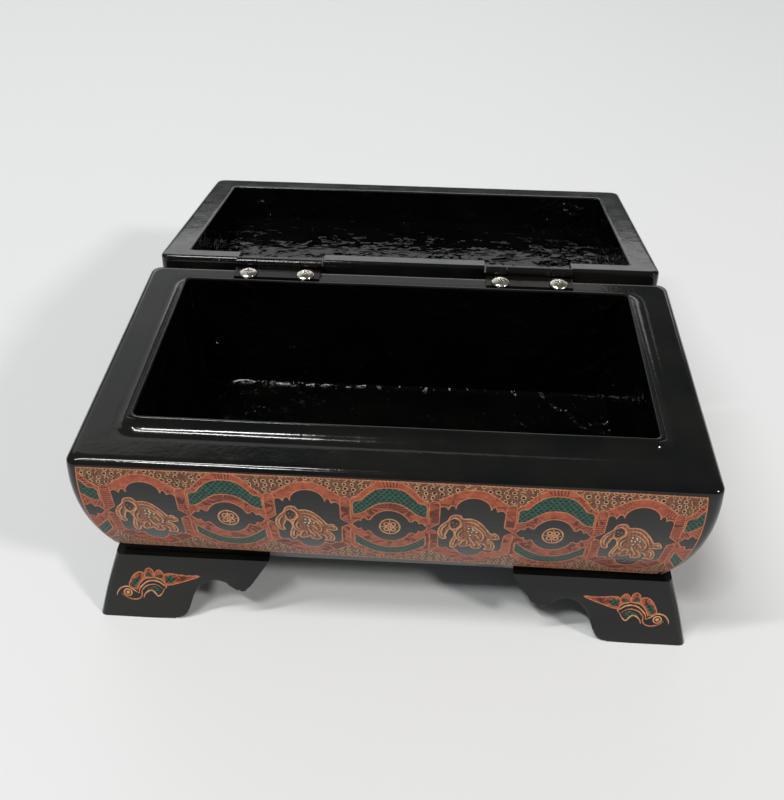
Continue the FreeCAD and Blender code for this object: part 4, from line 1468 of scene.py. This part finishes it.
# %% Dust and wear groups
dust_specks, w, given, made = group(
    "dust_specks", {"Place": None, "Amount": 0.5, "Size": 700.0}, {"Mask": "Float"}
)
cells = w.add("ShaderNodeTexVoronoi", {"Vector": given["Place"], "Scale": given["Size"]}, feature="F1")
speck = w.sum("LESS_THAN", cells.outputs["Distance"], w.times(w.grain(given["Place"], 1500.0), 0.26))
threshold = w.minus(0.80, w.times(given["Amount"], 0.2))
rare = w.between(w.grain(given["Place"], 260.0), threshold, 0.85)
facing = w.parts(w.add("ShaderNodeNewGeometry").outputs["Normal"])[2]
join(w, w.times(w.times(speck, rare), w.between(facing, 0.6, 0.95)), made["Mask"])

edge_wear, w, given, made = group("edge_wear", {"Place": None, "Reach": 0.03}, {"Mask": "Float"})
bend = w.add("ShaderNodeNewGeometry").outputs["Pointiness"]
ragged = w.times(w.minus(w.grain(given["Place"], 420.0, 4.0), 0.5), 0.12)
sharp = w.plus(bend, ragged)
join(w, w.between(sharp, w.minus(0.70, given["Reach"]), 0.72), made["Mask"])

# %% [markdown]
# ### Marks of the point
# Red ribbons are hatched squarely across, about three strokes to two millimetres, with a
# hand's small errors. Green fields are cut with rows of little scales, each with a dot.
# The ground outside the frames is filled with rings round dark dots.

# %% Hatching, scales and rings
hatching, w, given, made = group(
    "hatching", {"Cut": None, "Pitch": 0.62, "Width": 0.3}, {"Mask": "Float", "Height": "Float"}
)
along, across, _ = w.parts(given["Cut"])
shaky = w.times(w.grain(given["Cut"], 0.35, 1.0), 0.3)
slanting = w.plus(along, w.times(across, 0.12))
count_up = w.plus(w.over(slanting, given["Pitch"]), shaky)
stroke = w.sum("ABSOLUTE", w.minus(w.sum("FRACT", count_up), 0.5))
strength = w.between(w.grain(given["Cut"], 1.1, 2.0), 0.1, 0.5)
line_mask = w.minus(1.0, w.between(stroke, w.times(given["Width"], 0.35), given["Width"]))
cut_mask = w.times(line_mask, strength)
join(w, cut_mask, made["Mask"])
join(w, w.minus(1.0, cut_mask), made["Height"])


def staggered(w, place, pitch_x, pitch_z, jitter, shift_by=0.5):
    """Place inside its own cell, in rows that are shifted sideways in turn."""
    shake = w.add("ShaderNodeTexNoise", {"Vector": place, "Scale": 0.8, "Detail": 1.0}).outputs["Color"]
    shift = w.vector("SUBTRACT", shake, (0.5, 0.5, 0.5))
    shift = w.add("ShaderNodeVectorMath", {0: shift, "Scale": jitter}, operation="SCALE").outputs[0]
    x, z, _ = w.parts(w.vector("ADD", place, shift))
    row = w.sum("FLOOR", w.over(z, pitch_z))
    odd = w.times(w.sum("MODULO", w.plus(row, 1000.0), 2.0), shift_by)
    share_x = w.sum("FRACT", w.plus(w.over(x, pitch_x), odd))
    share_z = w.sum("FRACT", w.over(z, pitch_z))
    return w.times(w.minus(share_x, 0.5), pitch_x), w.times(w.minus(share_z, 0.5), pitch_z)


def far_from_middle(w, x, z, rx, rz):
    a, b = w.over(x, rx), w.over(z, rz)
    return w.sum("SQRT", w.plus(w.times(a, a), w.times(b, b)))


ring_diaper, w, given, made = group(
    "ring_diaper", {"Lay": None, "Pitch": 1.9}, {"Ring": "Float", "Dot": "Float", "Height": "Float"}
)
x, z = staggered(w, given["Lay"], given["Pitch"], w.times(given["Pitch"], 0.74), 0.7, 0.18)
far = far_from_middle(w, x, z, 0.56, 0.58)
present = w.between(w.grain(given["Lay"], 0.5, 1.0), 0.38, 0.46)
ring = w.times(w.between(far, 0.6, 0.74), w.minus(1.0, w.between(far, 0.95, 1.12)))
ring = w.times(ring, present)
join(w, ring, made["Ring"])
join(w, w.times(present, w.minus(1.0, w.between(far, 0.55, 0.7))), made["Dot"])
join(w, ring, made["Height"])

fish_scales, w, given, made = group(
    "fish_scales", {"Lay": None, "Pitch": 1.35}, {"Edge": "Float", "Dot": "Float", "Height": "Float"}
)
x, z = staggered(w, given["Lay"], given["Pitch"], w.times(given["Pitch"], 0.62), 0.5)
far = far_from_middle(w, x, w.plus(z, 0.3), 0.62, 0.62)
edge = w.times(w.between(far, 0.72, 0.9), w.minus(1.0, w.between(far, 1.0, 1.2)))
edge = w.times(edge, w.between(w.grain(given["Lay"], 1.7, 2.0), 0.3, 0.6))
join(w, edge, made["Edge"])
from_dot = far_from_middle(w, x, w.plus(z, 0.1), 0.25, 0.25)
join(w, w.minus(1.0, w.between(from_dot, 0.7, 1.1)), made["Dot"])
join(w, edge, made["Height"])
print("node groups:", [g.name for g in bpy.data.node_groups])


# %% Starting a material
def finish(name, **values):
    """A material with its shader's plain values set; returns it with its wiring."""
    material = bpy.data.materials.new(name)
    material.use_nodes = True
    wires = Wiring(material.node_tree)
    shader = material.node_tree.nodes["Principled BSDF"]
    for key, value in values.items():
        shader.inputs[key.replace("_", " ")].default_value = value
    return material, wires, shader.inputs


def use(wires, tree, inputs):
    return wires.add("ShaderNodeGroup", inputs, node_tree=tree).outputs


def raised(wires, height, strength, distance, sockets):
    bump = wires.add("ShaderNodeBump", {"Height": height, "Strength": strength, "Distance": distance})
    join(wires, bump.outputs[0], sockets["Normal"])


# %% [markdown]
# ### Black lacquer
# The wood outside and in. Its shader is a dark, fairly smooth ground under a thin clear
# coat; polish, drift and waves come from the lacquer group, and a few specks of dust lie
# on what faces up.

# %% Black lacquer
black_lacquer, w, sockets = finish(
    "black_lacquer", Coat_Weight=0.2, Coat_Roughness=0.03, Specular_IOR_Level=0.3
)
place = w.add("ShaderNodeTexCoord").outputs["Object"]
coats = use(w, lacquer_coats, {"Place": place, "Polish": 0.09, "Uneven": 0.06})
dust = use(w, dust_specks, {"Place": place, "Amount": 0.3})
join(w, w.blend(dust["Mask"], coats["Color"], (0.16, 0.15, 0.13, 1)), sockets["Base Color"])
join(w, w.plus(coats["Roughness"], w.times(dust["Mask"], 0.5)), sockets["Roughness"])
raised(w, coats["Height"], 0.2, 0.0003, sockets)

# %% [markdown]
# Inside, the same lacquer is poured rather than polished, and it dries in small round lumps.
# Its colour is painted far blacker than outside, as painted shade for the light that falls in
# and hardly comes out again. Each lump catches one lamp as a bright point, thickest towards the corners and
# ends.

# %% Poured lacquer, with painted shade
poured_lacquer_painted_shade, w, sockets = finish("poured_lacquer_painted_shade", Specular_IOR_Level=0.08)
place = w.add("ShaderNodeTexCoord").outputs["Object"]
# painted shade: the lining's colours are far darker than the outside lacquer's, to stand for the shade
# inside the box and lid
coats = use(w, lacquer_coats, {
    "Place": place, "Polish": 0.045, "Uneven": 0.05,
    "Thin Colour": (0.0022, 0.002, 0.0018, 1), "Thick Colour": (0.001, 0.001, 0.0011, 1),
})
dust = use(w, dust_specks, {"Place": place, "Amount": 1.0, "Size": 900.0})
join(w, w.blend(dust["Mask"], coats["Color"], (0.10, 0.10, 0.09, 1)), sockets["Base Color"])
join(w, coats["Roughness"], sockets["Roughness"])
towards_end = w.between(w.sum("ABSOLUTE", w.parts(place)[0]), 0.030, 0.062)
cells = w.add("ShaderNodeTexVoronoi", {"Vector": place, "Scale": 430.0}, feature="SMOOTH_F1")
patches = w.between(w.grain(place, 140.0, 2.0), 0.50, 0.68)
share = w.plus(w.times(patches, 0.45), w.times(w.times(towards_end, patches), 0.8))
lumpy = w.times(cells.outputs["Distance"], w.plus(share, 0.04))
raised(w, w.plus(lumpy, w.times(coats["Height"], 0.05)), 1.0, 0.0016, sockets)


LINED = 0.35           # the lining takes in faces up to this far outside the hollow
BASE_HOLLOW = (INSIDE_X, INSIDE_FRONT, INSIDE_BACK)
LID_HOLLOW = (LID_IN_X, LID_IN_FRONT, LID_IN_BACK)


def inside_of(piece):
    """Faces of a board that line the box or the lid, found in the closed lid's place."""
    back_home, hollow = Matrix.Identity(4), BASE_HOLLOW
    low_z, high_z = floor_low.z + 0.6, LEDGE + LIP_RISE - 0.4
    if piece.parent == frame["bodies"]["lid"]:
        back_home, hollow = swing.inverted(), LID_HOLLOW
        low_z, high_z = RIM + 0.6, WALL_TOP + 0.6
    for face in piece.data.polygons:
        c = back_home @ (face.center / MM)
        if within(c, *hollow, slack=LINED) and low_z < c.z < high_z:
            face.material_index = 1


for piece in wooden:
    piece.data.materials.clear()
    for lacquer in (black_lacquer, poured_lacquer_painted_shade):
        piece.data.materials.append(lacquer)
    inside_of(piece)
print("lined faces:", sum(f.material_index for piece in wooden for f in piece.data.polygons))

# %% [markdown]
# ### Colours of the cuts
# Each colour is rubbed into the cut lacquer and polished with it, so all of them share
# one soft shine. Red is hatched, green is scaled, the ground is ringed, and the line
# colours are uneven where the pigment has not filled the cut.

# %% Colour fills
BLACK = (0.006, 0.007, 0.006, 1)
palette = {
    "red": ((0.36, 0.070, 0.030, 1), (0.47, 0.12, 0.055, 1)),
    "green": ((0.007, 0.036, 0.023, 1), (0.012, 0.064, 0.040, 1)),
    "diaper": ((0.11, 0.040, 0.018, 1), (0.23, 0.085, 0.036, 1)),
    "line": ((0.46, 0.13, 0.055, 1), (0.60, 0.22, 0.10, 1)),
    "gold": ((0.50, 0.20, 0.085, 1), (0.74, 0.36, 0.17, 1)),
    "ochre": ((0.22, 0.075, 0.032, 1), (0.40, 0.15, 0.065, 1)),
    "pale": ((0.60, 0.50, 0.36, 1), (0.80, 0.72, 0.56, 1)),
}
fills = {}
for colour, (deep, light) in palette.items():
    fill, w, sockets = finish(
        "fill_" + colour, Coat_Weight=0.1, Coat_Roughness=0.12, Specular_IOR_Level=0.25
    )
    lay = w.add("ShaderNodeAttribute", attribute_name="lay").outputs["Vector"]
    cloud = w.between(w.grain(lay, 0.55, 4.0), 0.3, 0.7)
    tone = w.blend(cloud, deep, light)
    missed = w.times(w.between(w.grain(lay, 2.6, 3.0), 0.60, 0.72), 0.6)
    tone = w.blend(missed, tone, BLACK)
    height = cloud
    if colour in ("red", "ochre"):
        guide, pitch, depth = ("cut", 0.78, 0.9) if colour == "red" else ("lay", 0.9, 0.5)
        cut = w.add("ShaderNodeAttribute", attribute_name=guide).outputs["Vector"]
        marks = use(w, hatching, {"Cut": cut, "Pitch": pitch})
        share = w.times(marks["Mask"], depth)
        tone, height = w.blend(share, tone, (0.07, 0.014, 0.008, 1)), marks["Height"]
    if colour == "green":
        marks = use(w, fish_scales, {"Lay": lay})
        tone = w.blend(marks["Edge"], tone, (0.04, 0.15, 0.10, 1))
        tone, height = w.blend(marks["Dot"], tone, BLACK), marks["Height"]
    if colour == "diaper":
        marks = use(w, ring_diaper, {"Lay": lay})
        tone = w.blend(marks["Ring"], tone, (0.60, 0.38, 0.22, 1))
        tone, height = w.blend(marks["Dot"], tone, BLACK), marks["Height"]
    join(w, tone, sockets["Base Color"])
    join(w, w.plus(0.34, w.times(cloud, 0.14)), sockets["Roughness"])
    raised(w, height, 0.35, 0.0001, sockets)
    fills[colour] = fill
fills["black"] = black_lacquer
for piece in colour_fills:
    for colour in COLOURS:
        piece.data.materials.append(fills[colour])

# %% [markdown]
# ### Hinges and screws
# The butt hinges are steel painted black with the case, worn grey at their edges. The
# screws of the base leaves were put in afterwards: bright plated heads, turned rings
# still in them, and darker where the surface bends inwards, in the cross recess.

# %% Metals
hinge_steel, w, sockets = finish(
    "hinge_steel", Coat_Weight=0.1, Coat_Roughness=0.2, Specular_IOR_Level=0.25
)
place = w.add("ShaderNodeTexCoord").outputs["Object"]
coats = use(w, lacquer_coats, {
    "Place": place, "Polish": 0.1, "Uneven": 0.12,
    "Thin Colour": (0.009, 0.007, 0.005, 1), "Thick Colour": (0.004, 0.004, 0.004, 1),
})
worn = w.times(use(w, edge_wear, {"Place": place, "Reach": 0.05})["Mask"], 0.4)
join(w, w.blend(worn, coats["Color"], (0.20, 0.19, 0.18, 1)), sockets["Base Color"])
join(w, worn, sockets["Metallic"])
join(w, coats["Roughness"], sockets["Roughness"])
raised(w, coats["Height"], 0.3, 0.0003, sockets)

screw_steel, w, sockets = finish("screw_steel", Metallic=1.0)
place = w.add("ShaderNodeTexCoord").outputs["Object"]
stained = w.between(w.grain(place, 650.0, 4.0), 0.35, 0.7)
tool_marks = w.grain(w.vector("MULTIPLY", place, (1.0, 1.0, 6.0)), 1800.0, 2.0)
# darker where the surface bends inwards, in the cross recess and other hollows
dark_in_hollows = w.between(w.add("ShaderNodeNewGeometry").outputs["Pointiness"], 0.36, 0.46)
tone = w.blend(stained, (0.58, 0.54, 0.46, 1), (0.80, 0.78, 0.72, 1))
join(w, w.blend(dark_in_hollows, (0.05, 0.045, 0.035, 1), tone), sockets["Base Color"])
join(w, w.plus(0.16, w.times(stained, 0.16)), sockets["Roughness"])
raised(w, tool_marks, 0.2, 0.0001, sockets)


def only_material(piece, material):
    piece.data.materials.clear()
    piece.data.materials.append(material)


for piece in bright:
    only_material(piece, screw_steel)
hinge_parts = ("base_leaf", "lid_leaf", "pin", "lid_screws")
kept_steel = [f"{side}_hinge_{part}" for side in ("left", "right") for part in hinge_parts]
for piece in bpy.data.objects:
    if piece.name in kept_steel and piece.type == "MESH":
        only_material(piece, hinge_steel)
print("materials:", [m.name for m in bpy.data.materials])


# %% [markdown]
# ## Table, lights and camera
# Black lacquer shows little of its own: it shows the room. The look of the real box
# needs a pale table, a broad soft light far behind it that greys the level surfaces, a
# dark ceiling, and a few narrow lamps overhead that run as bright lines along every
# rounded edge.


# %% Table
TABLE = [(-4000, -3000, 0), (4000, -3000, 0), (4000, 5000, 0), (-4000, 5000, 0)]
table = in_scene("table", plain_mesh("table", TABLE, [(0, 1, 2, 3)]))
table_paint = bpy.data.materials.new("table_paint")
table_paint.use_nodes = True
table_shader = table_paint.node_tree.nodes["Principled BSDF"]
table_shader.inputs["Base Color"].default_value = (0.74, 0.75, 0.75, 1)
table_shader.inputs["Roughness"].default_value = 0.5
table.data.materials.append(table_paint)


# %% Lights
def lamp(name, place, aim, size, power, colour=(1, 1, 1)):
    light = bpy.data.lights.new(name, "AREA")
    light.shape, light.size, light.size_y = "RECTANGLE", size[0], size[1]
    light.energy, light.color = power, colour
    holder = in_scene(name, light)
    holder.location = place
    holder.rotation_euler = (Vector(aim) - Vector(place)).to_track_quat("-Z", "Y").to_euler()


lamp("back_wall_glow", (-0.7, 1.9, 1.25), (0, 0, 0.2), (2.6, 1.2), 7)
lamp("low_wall_glow", (0.0, 2.0, 0.62), (0, 0, 0.2), (3.2, 0.6), 7)
lamp("ceiling_tube_left", (-0.75, -0.2, 1.9), (0, 0, 0), (0.1, 1.1), 20)
lamp("ceiling_tube_near", (-0.55, -0.75, 2.0), (0, 0, 0), (0.5, 0.1), 14)
lamp("window_right", (0.95, -0.5, 0.85), (0, 0, 0), (0.16, 0.16), 7, (1.0, 0.97, 0.92))
world = bpy.data.worlds.new("room")
world.use_nodes = True
world.node_tree.nodes["Background"].inputs["Color"].default_value = (0.115, 0.12, 0.125, 1)
bpy.context.scene.world = world
bpy.context.scene.view_settings.view_transform = "Standard"

# %% Camera
eye = Vector((0.00818, -0.17834, 0.20890))
pitch, yaw, roll = math.radians(42.543), math.radians(3.235), math.radians(0.248)
level = Vector((math.cos(yaw), math.sin(yaw), 0))
ahead = Vector((-math.sin(yaw), math.cos(yaw), 0))
forward = ahead * math.cos(pitch) - Vector((0, 0, math.sin(pitch)))
upward = level.cross(forward)
across = level * math.cos(roll) + upward * math.sin(roll)
upright = -level * math.sin(roll) + upward * math.cos(roll)
camera_data = bpy.data.cameras.new("camera")
camera_data.lens = 39.53
camera_data.clip_start = 0.01
camera = in_scene("camera", camera_data)
columns = Matrix((across, upright, -forward)).transposed()
camera.matrix_world = Matrix.Translation(eye) @ columns.to_4x4()
bpy.context.scene.camera = camera
